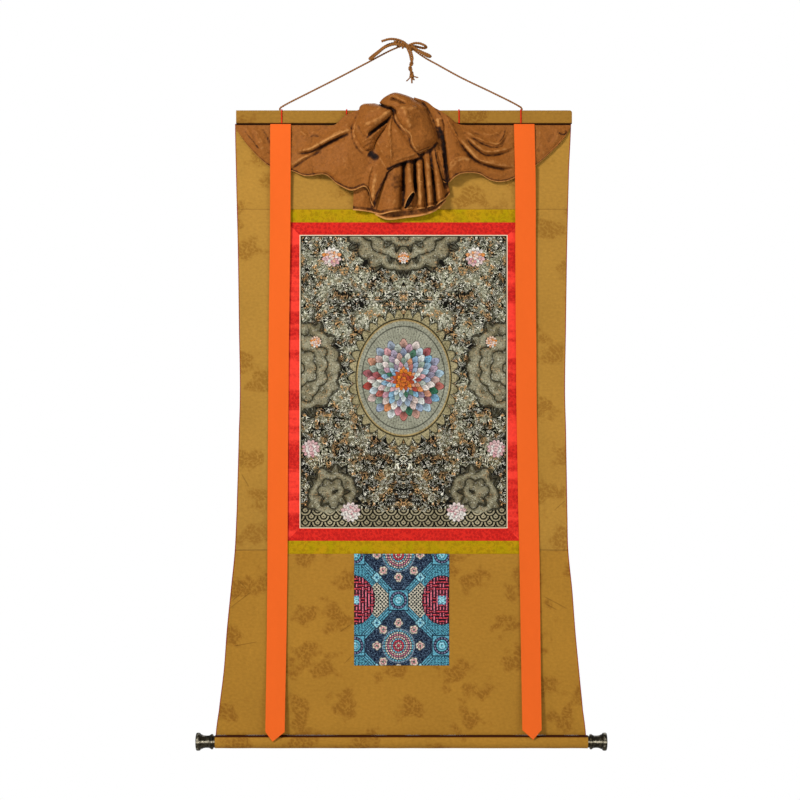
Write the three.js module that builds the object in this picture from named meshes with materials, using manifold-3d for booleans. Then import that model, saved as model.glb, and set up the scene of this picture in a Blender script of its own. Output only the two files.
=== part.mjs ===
// A thangka scroll painting as it hangs from its cord: a painted canvas in two brocade frames, set in
// four panels of damask, with a batten at the top, a roller with turned knobs at the bottom, a silk veil
// gathered over the batten and two ribbons in front.
// Sizes are millimetres. X runs to the right, Z up, and the front faces -Y. The origin is the point
// that the hanging cord passes over.
import * as THREE from "three";
import { mergeVertices } from "three/addons/utils/BufferGeometryUtils.js";
import Module from "manifold-3d";

const wasm = await Module();
wasm.setup();

// Driving dimensions
const GAP = 0.3;
const GROUND = 2; // thickness of the ground cloth, the frames and the canvas, which are sewn edge to edge
const THIN = 1; // thickness of the ribbons and the door panel
const SILK = 1.6; // thickness of the veil

const batten = { x: -1, width: 710, top: -135.4, height: 28.5, depth: 12, round: 4, sleeve: 1 };
const roller = { left: -400.6, right: 387.6, z: -1471, radius: 14, sleeve: 1, tenon: 14, tenonRadius: 7 };
const picture = { x: -2, top: -398.7, width: 440, height: 620.8 };
const RED = 26.5;
const YELLOW = 27.5;
const SIDE_SEAM = -1066.5; // where the side panels meet the bottom panel
const door = { x: -6, width: 201, height: 236 };
const piping = { width: 1.6, depth: 2.6 };
const thread = { width: 1.6, from: [-259.4, -122.3, 115.3, 243.9] };
const cord = { diameter: 4, doubled: 8, left: -263.4, right: 248 };
const knot = { x: 5.5, z: 0.5, halfWidth: 15.5, halfDepth: 7, halfHeight: 7 };

const groundTop = batten.top - batten.height - GAP;
const groundFoot = roller.z + roller.radius + GAP;
const pictureFoot = picture.top - picture.height;
const doorTop = pictureFoot - RED - YELLOW;

// The side edges of the ground cloth, which draws in towards the middle and flares to the roller.
// curl is how far the edge comes forward of the flat middle.
const EDGES = [
  { z: -164, left: -358.5, right: 352.5, curl: 0 },
  { z: -261, left: -356.5, right: 348, curl: 0.5 },
  { z: -430, left: -352.5, right: 344, curl: 1 },
  { z: -600, left: -350, right: 341.5, curl: 2 },
  { z: -727, left: -348, right: 339.5, curl: 3.5 },
  { z: -811, left: -350, right: 341.5, curl: 5 },
  { z: -981, left: -354.5, right: 344, curl: 7 },
  { z: -1065, left: -358.5, right: 346, curl: 8 },
  { z: -1150, left: -367, right: 354.5, curl: 8 },
  { z: -1235, left: -375.5, right: 361, curl: 7 },
  { z: -1319, left: -382, right: 369, curl: 5 },
  { z: -1404, left: -392.5, right: 377.5, curl: 2 },
  { z: -1457, left: -399.5, right: 384, curl: 0 },
];

// The ribbons: the middle of each at its height, its width, and how far it hangs in front.
const RIBBONS = {
  left: { tip: { x: -279.5, z: -1468.5 }, foot: -1448, middle: [-262.1, -268.6, -270.5, -273.6] },
  right: { tip: { x: 271.9, z: -1464.5 }, foot: -1444, middle: [253.4, 263.6, 265.5, 269] },
};
const RIBBON_HEIGHTS = [-164.6, -620, -1055, -1448];
const RIBBON_WIDTHS = [43.4, 43, 42.6, 40.8];
const RIBBON_STAND = [
  { z: -164.6, out: 5.3 },
  { z: -172, out: 8.6 },
  { z: -184, out: 11.4 },
  { z: -205, out: 13.2 },
  { z: -245, out: 13.8 },
  { z: -290, out: 12.5 },
  { z: -420, out: 9 },
  { z: -800, out: 7 },
  { z: -1150, out: 9 },
  { z: -1330, out: 12.5 },
  { z: -1430, out: 16.8 },
  { z: -1470, out: 17.4 },
];

// The swags of the veil, from the outer corner in. x and top say where a section of the cloth starts,
// foot and hem where it ends, start and out how far in front it is there and at its fullest.
const LEFT_SWAG = [
  { x: -357.5, top: -167, foot: -357.5, hem: -172.5, start: 3.2, out: 4.5 },
  { x: -330, top: -167, foot: -329, hem: -213, start: 3.2, out: 7.5 },
  { x: -285, top: -167, foot: -284, hem: -255, start: 3.2, out: 8 },
  { x: -240, top: -167, foot: -239, hem: -267, start: 3.2, out: 8.5 },
  { x: -208, top: -167, foot: -209, hem: -275, start: 3.2, out: 14 },
  { x: -176, top: -167, foot: -168, hem: -273, start: 4, out: 18 },
  { x: -148, top: -167, foot: -142, hem: -293, start: 11, out: 25 },
  { x: -124, top: -139, foot: -112, hem: -304, start: 12.4, out: 31 },
  { x: -98, top: -128, foot: -88, hem: -296, start: 12.6, out: 28 },
  { x: -74, top: -126, foot: -72, hem: -316, start: 13, out: 24 },
  { x: -46, top: -126, foot: -60, hem: -340, start: 13, out: 20 },
];
const RIGHT_SWAG = [
  { x: 20, top: -109, foot: 50, hem: -250, start: 12.6, out: 22 },
  { x: 50, top: -114, foot: 76, hem: -284, start: 12.6, out: 26 },
  { x: 70, top: -131, foot: 90, hem: -290, start: 12.4, out: 19 },
  { x: 92, top: -134, foot: 98, hem: -284, start: 12.4, out: 26 },
  { x: 112, top: -154, foot: 110, hem: -274, start: 12.4, out: 28 },
  { x: 130, top: -167, foot: 129, hem: -265.5, start: 11, out: 24 },
  { x: 158, top: -167, foot: 157, hem: -266, start: 4, out: 20 },
  { x: 183, top: -167, foot: 183, hem: -281, start: 3.2, out: 17 },
  { x: 208, top: -167, foot: 208, hem: -284, start: 3.2, out: 13 },
  { x: 234, top: -167, foot: 232, hem: -275, start: 3.2, out: 8.5 },
  { x: 278, top: -167, foot: 278, hem: -248, start: 3.2, out: 8 },
  { x: 330, top: -167, foot: 330, hem: -204, start: 3.2, out: 7.5 },
  { x: 351.5, top: -167, foot: 351.5, hem: -171.5, start: 3.2, out: 4.5 },
];

// Folds of the swags: an arc from one point to another that hangs by sag, how wide it is, and how far
// it rises forward, or falls back where rise is negative.
const SWAG_FOLDS = [
  { x1: -216, z1: -210, x2: -112, z2: -172, sag: -6, wide: 15, rise: 7 },
  { x1: -216, z1: -224, x2: -108, z2: -186, sag: -6, wide: 10, rise: -8 },
  { x1: -220, z1: -242, x2: -172, z2: -208, sag: 4, wide: 10, rise: 5 },
  { x1: -130, z1: -215, x2: -100, z2: -270, sag: 0, wide: 26, rise: 6 },
  { x1: 80, z1: -140, x2: 212, z2: -240, sag: 22, wide: 14, rise: 7 },
  { x1: 92, z1: -170, x2: 210, z2: -256, sag: 20, wide: 10, rise: -6 },
  { x1: 126, z1: -180, x2: 208, z2: -184, sag: 24, wide: 11, rise: 6 },
  { x1: 124, z1: -196, x2: 212, z2: -196, sag: 22, wide: 9, rise: -5 },
  { x1: -318, z1: -174, x2: -296, z2: -238, sag: 3, wide: 11, rise: 3 },
];

// The gathered lobes over the batten. Each row is an arch from one rim point to the other: where they
// are, how far in front, and how far the arch rises over the line between them.
const LEFT_LOBE = [
  { x1: -95, z1: -128, y1: 9.5, x2: -58, z2: -122, y2: 12, rise: 5 },
  { x1: -114, z1: -138, y1: 9.5, x2: -25, z2: -134, y2: 28, rise: 20 },
  { x1: -110, z1: -155, y1: 9.5, x2: -22, z2: -152, y2: 26, rise: 29 },
  { x1: -108, z1: -177, y1: 10, x2: -40, z2: -177, y2: 24, rise: 29 },
  { x1: -101, z1: -202, y1: 12, x2: -56, z2: -198, y2: 24, rise: 23 },
  { x1: -92, z1: -219, y1: 14, x2: -63, z2: -213, y2: 22, rise: 15 },
  { x1: -84, z1: -228, y1: 16, x2: -73, z2: -223, y2: 20, rise: 5 },
];
const RIGHT_LOBE = [
  { x1: -14, z1: -122, y1: 22, x2: 33, z2: -118, y2: 12, rise: 13 },
  { x1: -22, z1: -138, y1: 38, x2: 46, z2: -132, y2: 9.5, rise: 24 },
  { x1: -15, z1: -158, y1: 44, x2: 55, z2: -157, y2: 9.5, rise: 28 },
  { x1: -2, z1: -178, y1: 45, x2: 63, z2: -175, y2: 9.5, rise: 28 },
  { x1: 14, z1: -198, y1: 43, x2: 70, z2: -191, y2: 10, rise: 23 },
  { x1: 18, z1: -218, y1: 38, x2: 69, z2: -202, y2: 12, rise: 16 },
  { x1: 28, z1: -229, y1: 28, x2: 50, z2: -218, y2: 18, rise: 5 },
];
const TOP_LOBE = [
  { x1: -53, z1: -120, y1: 9.5, x2: -43, z2: -136, y2: 20, rise: 5 },
  { x1: -43, z1: -109, y1: 9.5, x2: -27, z2: -143, y2: 30, rise: 13 },
  { x1: -22, z1: -99, y1: 9.5, x2: -9, z2: -149, y2: 34, rise: 18 },
  { x1: -1, z1: -103, y1: 9.5, x2: 12, z2: -149, y2: 36, rise: 18 },
  { x1: 22, z1: -112, y1: 9.5, x2: 33, z2: -142, y2: 30, rise: 14 },
  { x1: 41, z1: -119, y1: 9.5, x2: 48, z2: -134, y2: 20, rise: 6 },
];
const CENTRE_FLAP = [
  { x1: -30, z1: -136, y1: 28, x2: -6, z2: -136, y2: 28, rise: 4 },
  { x1: -40, z1: -170, y1: 32, x2: 8, z2: -178, y2: 34, rise: 11 },
  { x1: -56, z1: -198, y1: 29, x2: 24, z2: -208, y2: 30, rise: 15 },
  { x1: -62, z1: -215, y1: 27, x2: 31, z2: -225, y2: 28, rise: 14 },
  { x1: -51, z1: -236, y1: 25, x2: 29, z2: -237, y2: 25, rise: 11 },
  { x1: -36, z1: -260, y1: 23, x2: -14, z2: -245, y2: 23, rise: 5 },
];

// The pleated tail under the knot, pleat by pleat from the left: ridges and troughs by turns.
const TAIL = [
  { waist: -66, foot: -109, hem: -348, out: 12 },
  { waist: -60, foot: -92, hem: -351, out: 24 },
  { waist: -52, foot: -68, hem: -354, out: 13 },
  { waist: -34, foot: -35, hem: -366, out: 37 },
  { waist: -6, foot: -1, hem: -361, out: 16 },
  { waist: 4, foot: 10, hem: -358, out: 32 },
  { waist: 14, foot: 21, hem: -355, out: 17 },
  { waist: 23, foot: 34, hem: -352, out: 31 },
  { waist: 33, foot: 46, hem: -347, out: 15 },
  { waist: 42, foot: 58, hem: -344, out: 28 },
  { waist: 50, foot: 69, hem: -338, out: 14 },
  { waist: 58, foot: 84, hem: -329, out: 23 },
  { waist: 66, foot: 96, hem: -314, out: 12 },
];
const TAIL_WAIST = { z: -222, out: 24 };

// The turned knob, from its inner face outwards.
const KNOB = [
  { along: 0, radius: 12.6 },
  { along: 3.6, radius: 12.6 },
  { along: 4.6, radius: 16.6 },
  { along: 8.6, radius: 17.2 },
  { along: 10.6, radius: 14.6 },
  { along: 16, radius: 13.4 },
  { along: 24, radius: 14 },
  { along: 30, radius: 16.4 },
  { along: 33, radius: 18.6 },
  { along: 38.4, radius: 19 },
  { along: 40.6, radius: 16.6 },
  { along: 41.4, radius: 9 },
];
const KNOB_LENGTH = 41.6;

// Routes of the cord, by hand. The legs start on top of the batten and end in the knot.
const ROUTES = {
  cord_left: [
    [cord.left, 0, -135.1],
    [cord.left, 0, -131],
    [-255, 0, -125],
    [-200, 0, -96.8],
    [-140, 0, -66.4],
    [-80, 0, -35],
    [-30, 0, -8.6],
    [-3, 0, 2.6],
  ],
  cord_right: [
    [cord.right, 0, -135.1],
    [cord.right, 0, -131],
    [240, 0, -125],
    [190, 0, -99.6],
    [120, 0, -66],
    [70, 0, -38.6],
    [42, 0, -23],
    [14, 0, -3],
  ],
  bow_left_end: [
    [6, 1, 3],
    [-2, 1, 9.6],
    [-17, 1, 15],
    [-32, 0, 15.6],
    [-48, -1, 11],
  ],
  bow_left_loop: [
    [2, -3, 1],
    [-20, -7.6, 4.4],
    [-40, -9.6, -1],
    [-58, -9, -14.6],
    [-70, -5, -24],
    [-73.6, 1, -25.6],
    [-69, 8, -20.6],
    [-56, 11, -11],
    [-38, 11.6, 2],
    [-20, 9.4, 7],
    [2, 4, 1],
  ],
  bow_right_loop: [
    [8, -2, 2],
    [22, -4, 6.8],
    [34, -6, 5.2],
    [43, -5, 0.6],
    [46, 0.6, -3],
    [42.6, 6, -3.4],
    [34, 8, -1],
    [22, 6, 2.4],
    [8, 3, 2],
  ],
  bow_lower_loop: [
    [15, -3, 1],
    [24.6, -8.4, -5.6],
    [37, -11.6, -17],
    [49.4, -9.4, -24.6],
    [55, -1.6, -24.6],
    [52, 6.4, -21],
    [40, 11.4, -16],
    [26, 9.4, -10],
    [12, 4, -1],
  ],
};
const TAIL_ROUTE = [
  [7, -4, 1],
  [9.6, -8.4, -8],
  [13.4, -8.8, -18],
  [15.4, -7.6, -34],
  [12, -6.4, -46],
  [14.9, -6, -55],
  [15.2, -6, -60.6],
];
const TAIL_END = [
  { along: 0, radius: 4.4 },
  { along: 2.4, radius: 6 },
  { along: 5, radius: 4.6 },
  { along: 9, radius: 7.6 },
  { along: 15, radius: 10 },
];

// Finishes
const finish = (color, roughness, metalness = 0) =>
  new THREE.MeshStandardMaterial({ color, roughness, metalness, side: THREE.FrontSide });
const damask = finish(0xae8036, 0.75);
const bottomDamask = finish(0xa1722a, 0.75);
const yellowBrocade = finish(0xb18e12, 0.7);
const redBrocade = finish(0xd9322a, 0.65);
const canvas = finish(0x787260, 0.85);
const blueBrocade = finish(0x616e75, 0.7);
const ribbonSilk = finish(0xf1692a, 0.8);
const veilSilk = finish(0x995f30, 0.6);
const wood = finish(0x8a6238, 0.7);
const bronze = finish(0x4a4438, 0.4, 1);
const maroon = finish(0x9c2a20, 0.7);
const redThread = finish(0xc8321e, 0.7);
const twine = finish(0x96643c, 0.8);

// One column of a table
const column = (rows, name) => rows.map((row) => row[name]);

// The value at a place between two of a list's values, on a smooth curve through them all
function between(values, at) {
  const i = Math.min(Math.floor(at), values.length - 2);
  const t = at - i;
  const a = values[Math.max(i - 1, 0)];
  const b = values[i];
  const c = values[i + 1];
  const d = values[Math.min(i + 2, values.length - 1)];
  return b + 0.5 * t * (c - a + t * (2 * a - 5 * b + 4 * c - d + t * (3 * (b - c) + d - a)));
}

// The same for a list of values that stand at falling heights
function atHeight(heights, values, z) {
  const below = heights.findIndex((height) => height <= z);
  if (below === 0) return values[0];
  if (below < 0) return values.at(-1);
  const upper = below - 1;
  return between(values, upper + (heights[upper] - z) / (heights[upper] - heights[below]));
}

const edgeAt = (side, z) => atHeight(column(EDGES, "z"), column(EDGES, side), z);

// How far the ground cloth curls forward, from nothing over the middle to the full curl at its edge
function curlAt(x, z) {
  const flat = picture.width / 2 + RED + YELLOW;
  const reach = Math.abs(edgeAt(x < picture.x ? "left" : "right", z) - picture.x);
  const share = Math.max(0, (Math.abs(x - picture.x) - flat) / (reach - flat));
  return edgeAt("curl", z) * share * share;
}

// A closed sheet between a front and a back surface, both over u to the right and v down, 0 to 1
function sheet(columns, rows, front, back) {
  const positions = [];
  const index = [];
  const quad = (a, b, c, d) => index.push(a, b, c, a, c, d);
  const at = (side, i, j) => (side * (rows + 1) + j) * (columns + 1) + i;
  for (const surface of [front, back])
    for (let j = 0; j <= rows; j++)
      for (let i = 0; i <= columns; i++) positions.push(...surface(i / columns, j / rows));
  for (let j = 0; j < rows; j++) {
    for (let i = 0; i < columns; i++) {
      quad(at(0, i, j), at(0, i, j + 1), at(0, i + 1, j + 1), at(0, i + 1, j));
      quad(at(1, i, j), at(1, i + 1, j), at(1, i + 1, j + 1), at(1, i, j + 1));
    }
    quad(at(0, 0, j + 1), at(0, 0, j), at(1, 0, j), at(1, 0, j + 1));
    quad(at(0, columns, j), at(0, columns, j + 1), at(1, columns, j + 1), at(1, columns, j));
  }
  for (let i = 0; i < columns; i++) {
    quad(at(0, i, 0), at(0, i + 1, 0), at(1, i + 1, 0), at(1, i, 0));
    quad(at(0, i + 1, rows), at(0, i, rows), at(1, i, rows), at(1, i + 1, rows));
  }
  const geometry = new THREE.BufferGeometry();
  geometry.setAttribute("position", new THREE.Float32BufferAttribute(positions, 3));
  geometry.setIndex(index);
  return geometry;
}

// A sheet of even thickness whose back stands behind its front along Y
function evenSheet(columns, rows, thickness, front) {
  const STEP = 0.004;
  const MOST = 1.9; // how much longer than the thickness the way through may be on a steep fold
  const back = (u, v) => {
    const along = (s, t) => new THREE.Vector3(...front(THREE.MathUtils.clamp(s, 0, 1), t));
    const across = along(u + STEP, v).sub(along(u - STEP, v));
    const down = along(u, Math.min(v + STEP, 1)).sub(along(u, Math.max(v - STEP, 0)));
    const normal = down.cross(across).normalize();
    const [x, y, z] = front(u, v);
    return [x, y + thickness * Math.min(1 / Math.max(Math.abs(normal.y), 0.01), MOST), z];
  };
  return sheet(columns, rows, front, back);
}

// A flat plate from an outline of [x, z] points, its middle at depth y
function plate(outline, thickness, y) {
  const shape = new THREE.Shape(outline.map(([x, z]) => new THREE.Vector2(x, z)));
  const geometry = new THREE.ExtrudeGeometry(shape, { depth: thickness, bevelEnabled: false });
  return geometry.rotateX(Math.PI / 2).translate(0, y + thickness / 2, 0);
}

// The outline of a rod's section with rounded corners, in (y, z) about its own middle
function roundedSection(depth, height, round) {
  const shape = new THREE.Shape();
  const y = depth / 2;
  const z = height / 2;
  shape.moveTo(-y + round, -z);
  shape.lineTo(y - round, -z);
  shape.absarc(y - round, -z + round, round, -Math.PI / 2, 0);
  shape.lineTo(y, z - round);
  shape.absarc(y - round, z - round, round, 0, Math.PI / 2);
  shape.lineTo(-y + round, z);
  shape.absarc(-y + round, z - round, round, Math.PI / 2, Math.PI);
  shape.lineTo(-y, -z + round);
  shape.absarc(-y + round, -z + round, round, Math.PI, Math.PI * 1.5);
  return shape;
}

// A section in (y, z) pushed along X from a start by a length
function pushed(shape, from, length, z, corners = 4) {
  const options = { depth: length, bevelEnabled: false, curveSegments: corners };
  const geometry = new THREE.ExtrudeGeometry(shape, options);
  return geometry.rotateX(Math.PI / 2).rotateZ(Math.PI / 2).translate(from, 0, z);
}

// A profile of { along, radius } rows turned about X, towards +X from x
function turned(points, segments, x, z, direction) {
  const geometry = new THREE.LatheGeometry(
    points.map(([radius, along]) => new THREE.Vector2(radius, along)),
    segments,
  );
  return geometry.rotateZ((-Math.PI / 2) * direction).translate(x, 0, z);
}

// A round tube along a smooth curve through hand-placed points
function tube(points, diameter, step) {
  const path = new THREE.CatmullRomCurve3(points.map((p) => new THREE.Vector3(...p)));
  const SIDES = 8;
  const corners = Array.from({ length: SIDES }, (_, i) => {
    const angle = (2 * Math.PI * i) / SIDES;
    return new THREE.Vector2(Math.cos(angle), Math.sin(angle)).multiplyScalar(diameter / 2);
  });
  const steps = Math.ceil(path.getLength() / step);
  return new THREE.ExtrudeGeometry(new THREE.Shape(corners), { steps, extrudePath: path });
}

// Between three.js geometry and solids for joins and cuts
function solid(geometry) {
  const bare = geometry.clone();
  bare.deleteAttribute("normal");
  bare.deleteAttribute("uv");
  const merged = mergeVertices(bare, 1e-3);
  const vertProperties = merged.attributes.position.array;
  const triVerts = new Uint32Array(merged.index.array);
  return new wasm.Manifold(new wasm.Mesh({ numProp: 3, vertProperties, triVerts }));
}

function geometryOf(made) {
  const { vertProperties, triVerts } = made.getMesh();
  const geometry = new THREE.BufferGeometry();
  geometry.setAttribute("position", new THREE.BufferAttribute(vertProperties, 3));
  geometry.setIndex(new THREE.BufferAttribute(triVerts, 1));
  return geometry;
}

const scroll = new THREE.Group();
scroll.name = "thangka_scroll";

function piece(group, name, geometry, material) {
  const mesh = new THREE.Mesh(geometry, material);
  mesh.name = name;
  group.add(mesh);
}

// Ground cloth: a sheet in the plane of the picture between two side lines, curled at its edges.
// shares says where its columns stand from one side line, 0, to the other, 1.
function groundPanel(shares, rows, leftAt, rightAt, topAt, footAt) {
  const columns = shares.length - 1;
  const front = (u, v) => {
    const share = shares[Math.round(u * columns)];
    const z = topAt(share) + (footAt(share) - topAt(share)) * v;
    const x = leftAt(z) + (rightAt(z) - leftAt(z)) * share;
    return [x, -GROUND / 2 - curlAt(x, z), z];
  };
  const back = (u, v) => {
    const [x, y, z] = front(u, v);
    return [x, y + GROUND, z];
  };
  return sheet(columns, rows, front, back);
}

const evenly = (count) => Array.from({ length: count + 1 }, (_, i) => i / count);
const SEAM_HALF = picture.width / 2 + RED + YELLOW + GAP; // from the picture's middle to the side panels
const frameTop = picture.top + RED + YELLOW;
const ROWS = { top: 3, side: 10, bottom: 7 };

function makeGround() {
  const cloth = new THREE.Group();
  const inset = piping.width + GAP;
  const left = (z) => edgeAt("left", z) + inset;
  const right = (z) => edgeAt("right", z) - inset;
  const innerLeft = () => picture.x - SEAM_HALF;
  const innerRight = () => picture.x + SEAM_HALF;
  const upper = () => frameTop;
  const lower = () => SIDE_SEAM;
  const topPanel = groundPanel(evenly(6), ROWS.top, left, right, () => groundTop, () => frameTop + GAP);
  piece(cloth, "panel_top", topPanel, damask);
  piece(cloth, "panel_left", groundPanel(evenly(3), ROWS.side, left, innerLeft, upper, lower), damask);
  piece(cloth, "panel_right", groundPanel(evenly(3), ROWS.side, innerRight, right, upper, lower), damask);

  // The bottom panel steps down under the frame between two close columns on either side.
  const span = right(SIDE_SEAM) - left(SIDE_SEAM);
  const steps = [innerLeft(), innerRight()].map((x) => (x - left(SIDE_SEAM)) / span);
  const [from, to] = steps;
  const tight = GAP / span;
  const outer = evenly(3).slice(0, 3);
  const shares = [
    ...outer.map((share) => share * from),
    from - tight,
    ...evenly(4).map((share) => from + (to - from) * share),
    to + tight,
    ...outer.map((share) => 1 - share * (1 - to)).reverse(),
  ];
  const under = (share) => (share >= from && share <= to ? doorTop - GAP : SIDE_SEAM - GAP);
  const bottomPanel = groundPanel(shares, ROWS.bottom, left, right, under, () => groundFoot);
  piece(cloth, "panel_bottom", bottomPanel, bottomDamask);
  return cloth;
}

// The piping follows the same rows as the panels beside it.
function makePiping() {
  const bound = new THREE.Group();
  const spread = (from, to, rows) => evenly(rows).map((share) => from + (to - from) * share);
  const heights = [
    ...spread(groundTop, frameTop + GAP, ROWS.top),
    ...spread(frameTop, SIDE_SEAM, ROWS.side),
    ...spread(SIDE_SEAM - GAP, groundFoot, ROWS.bottom),
  ];
  for (const side of ["left", "right"]) {
    const face = (y) => (u, v) => {
      const z = heights[Math.round(v * (heights.length - 1))];
      const x = edgeAt(side, z) + piping.width * (side === "left" ? u : u - 1);
      return [x, y - edgeAt("curl", z), z];
    };
    const strip = sheet(1, heights.length - 1, face(-piping.depth / 2), face(piping.depth / 2));
    piece(bound, "piping_" + side, strip, maroon);
  }
  return bound;
}

// Four mitred strips round an opening, their outer edge at half a width from the middle
function makeFrame(name, half, top, foot, strip, material) {
  const frame = new THREE.Group();
  const wide = strip - GAP;
  const mitre = 1.5 * GAP;
  const inner = half - wide;
  const level = (outerZ, innerZ) => [
    [-half + mitre, outerZ],
    [half - mitre, outerZ],
    [inner - mitre, innerZ],
    [-inner + mitre, innerZ],
  ];
  const upright = (side) => [
    [side * half, top],
    [side * inner, top - wide],
    [side * inner, foot + wide],
    [side * half, foot],
  ];
  const strips = {
    top: level(top, top - wide),
    bottom: level(foot, foot + wide),
    left: upright(-1),
    right: upright(1),
  };
  for (const [place, outline] of Object.entries(strips))
    piece(frame, name + "_" + place, plate(outline, GROUND, 0), material);
  return frame;
}

// The canvas, its two frames and the door panel, about the picture's own middle line
function makePicture() {
  const middle = new THREE.Group();
  middle.position.x = picture.x;
  const half = picture.width / 2;
  const rectangle = (halfWidth, top, foot) => [
    [-halfWidth, top],
    [halfWidth, top],
    [halfWidth, foot],
    [-halfWidth, foot],
  ];
  middle.add(makeFrame("yellow", half + RED + YELLOW, frameTop, doorTop, YELLOW, yellowBrocade));
  middle.add(makeFrame("red", half + RED, picture.top + RED, pictureFoot - RED, RED, redBrocade));
  piece(middle, "painting", plate(rectangle(half, picture.top, pictureFoot), GROUND, 0), canvas);
  const doorPlate = plate(
    rectangle(door.width / 2, doorTop - GAP, doorTop - GAP - door.height),
    THIN,
    -GROUND / 2 - GAP - THIN / 2,
  );
  piece(middle, "door_panel", doorPlate.translate(door.x - picture.x, 0, 0), blueBrocade);
  return middle;
}

function makeBatten() {
  const bar = new THREE.Group();
  const middle = batten.top - batten.height / 2;
  const start = batten.x - batten.width / 2;
  const RECESS = 1;
  const sleeve = roundedSection(batten.depth, batten.height, batten.round);
  const within = (lost) =>
    roundedSection(batten.depth - 2 * lost, batten.height - 2 * lost, batten.round - lost);
  sleeve.holes.push(within(batten.sleeve));
  piece(bar, "batten_sleeve", pushed(sleeve, start, batten.width, middle), damask);
  const slat = within(batten.sleeve + GAP);
  piece(bar, "batten", pushed(slat, start + RECESS, batten.width - 2 * RECESS, middle), wood);
  return bar;
}

// A thread stitched from the seam under the batten over its top, into the sleeve's back edge
function makeThreads() {
  const threads = new THREE.Group();
  const foot = batten.top - batten.height + GAP;
  const section = new THREE.Shape();
  const line = (grow, backwards) => {
    const y = batten.depth / 2 + grow;
    const top = batten.top + grow;
    const round = batten.round + grow;
    const way = backwards ? 1 : -1;
    const corner = (side) => {
      const from = side === way ? (way > 0 ? 0 : Math.PI) : Math.PI / 2;
      const to = side === way ? Math.PI / 2 : way > 0 ? Math.PI : 0;
      section.absarc(side * (y - round), top - round, round, from, to, !backwards);
    };
    if (!backwards) section.moveTo(-y, foot);
    corner(way);
    corner(-way);
    if (backwards) section.lineTo(-y, foot);
  };
  line(GAP + thread.width, false);
  line(GAP, true);
  section.closePath();
  thread.from.forEach((x, i) => {
    const loop = pushed(section, x - thread.width / 2, thread.width, 0, 3);
    piece(threads, "thread_" + (i + 1), loop, redThread);
  });
  return threads;
}

function makeRoller() {
  const rod = new THREE.Group();
  const length = roller.right - roller.left;
  const ring = new THREE.Shape().absarc(0, 0, roller.radius, 0, Math.PI * 2);
  const hollow = new THREE.Path().absarc(0, 0, roller.radius - roller.sleeve, 0, Math.PI * 2);
  ring.holes.push(hollow);
  piece(rod, "roller_sleeve", pushed(ring, roller.left, length, roller.z, 20), damask);

  const body = roller.radius - roller.sleeve - GAP;
  const dowel = [
    [0, -roller.tenon],
    [roller.tenonRadius, -roller.tenon],
    [roller.tenonRadius, 0],
    [body, 0],
    [body, length],
    [roller.tenonRadius, length],
    [roller.tenonRadius, length + roller.tenon],
    [0, length + roller.tenon],
  ];
  piece(rod, "roller", turned(dowel, 16, roller.left, roller.z, 1), wood);

  const bore = roller.tenonRadius + GAP;
  const socket = roller.tenon + GAP;
  const profile = [
    [0, socket],
    [bore, socket],
    [bore, 0],
    ...KNOB.map(({ along, radius }) => [radius, along]),
    [0, KNOB_LENGTH],
  ];
  piece(rod, "knob_left", turned(profile, 24, roller.left - GAP, roller.z, -1), bronze);
  piece(rod, "knob_right", turned(profile, 24, roller.right + GAP, roller.z, 1), bronze);
  return rod;
}

function makeRibbons() {
  const pair = new THREE.Group();
  for (const [side, { tip, foot, middle }] of Object.entries(RIBBONS)) {
    const top = RIBBON_HEIGHTS[0];
    const face = (behind) => (u, v) => {
      const level = top + (foot - top) * v ** 1.6; // rows crowd where the ribbon comes over the veil
      const point = v === 1 ? 1 - Math.abs(2 * u - 1) : 0;
      const z = level + (tip.z - foot) * point;
      const centre = atHeight(RIBBON_HEIGHTS, middle, level);
      const width = atHeight(RIBBON_HEIGHTS, RIBBON_WIDTHS, level);
      const out = atHeight(column(RIBBON_STAND, "z"), column(RIBBON_STAND, "out"), z);
      return [centre + width * (u - 0.5) + (tip.x - centre) * point, behind - out, z];
    };
    const strip = sheet(2, 20, face(-THIN / 2), face(THIN / 2));
    piece(pair, "ribbon_" + side, strip, ribbonSilk);
  }
  return pair;
}

// How far the folds push the swags forward at a point of the cloth
function foldsAt(x, z) {
  const SAMPLES = 12;
  let sum = 0;
  for (const { x1, z1, x2, z2, sag, wide, rise } of SWAG_FOLDS) {
    let nearest = Infinity;
    for (let i = 0; i <= SAMPLES; i++) {
      const t = i / SAMPLES;
      const arcX = x1 + (x2 - x1) * t;
      const arcZ = z1 + (z2 - z1) * t - 4 * sag * t * (1 - t);
      nearest = Math.min(nearest, Math.hypot(x - arcX, z - arcZ));
    }
    sum += rise * Math.exp(-((nearest / wide) ** 2));
  }
  return sum;
}

function swag(rows, columns, down) {
  const front = (u, v) => {
    const at = (name) => between(column(rows, name), u * (rows.length - 1));
    const x = at("x") + (at("foot") - at("x")) * v;
    const z = at("top") + (at("hem") - at("top")) * v;
    const full = at("start") + (at("out") - at("start")) * Math.sin(0.78 * Math.PI * v);
    return [x, -Math.max(full + foldsAt(x, z) * Math.min(1, 6 * v), at("start")), z];
  };
  return evenSheet(columns, down, SILK, front);
}

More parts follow.
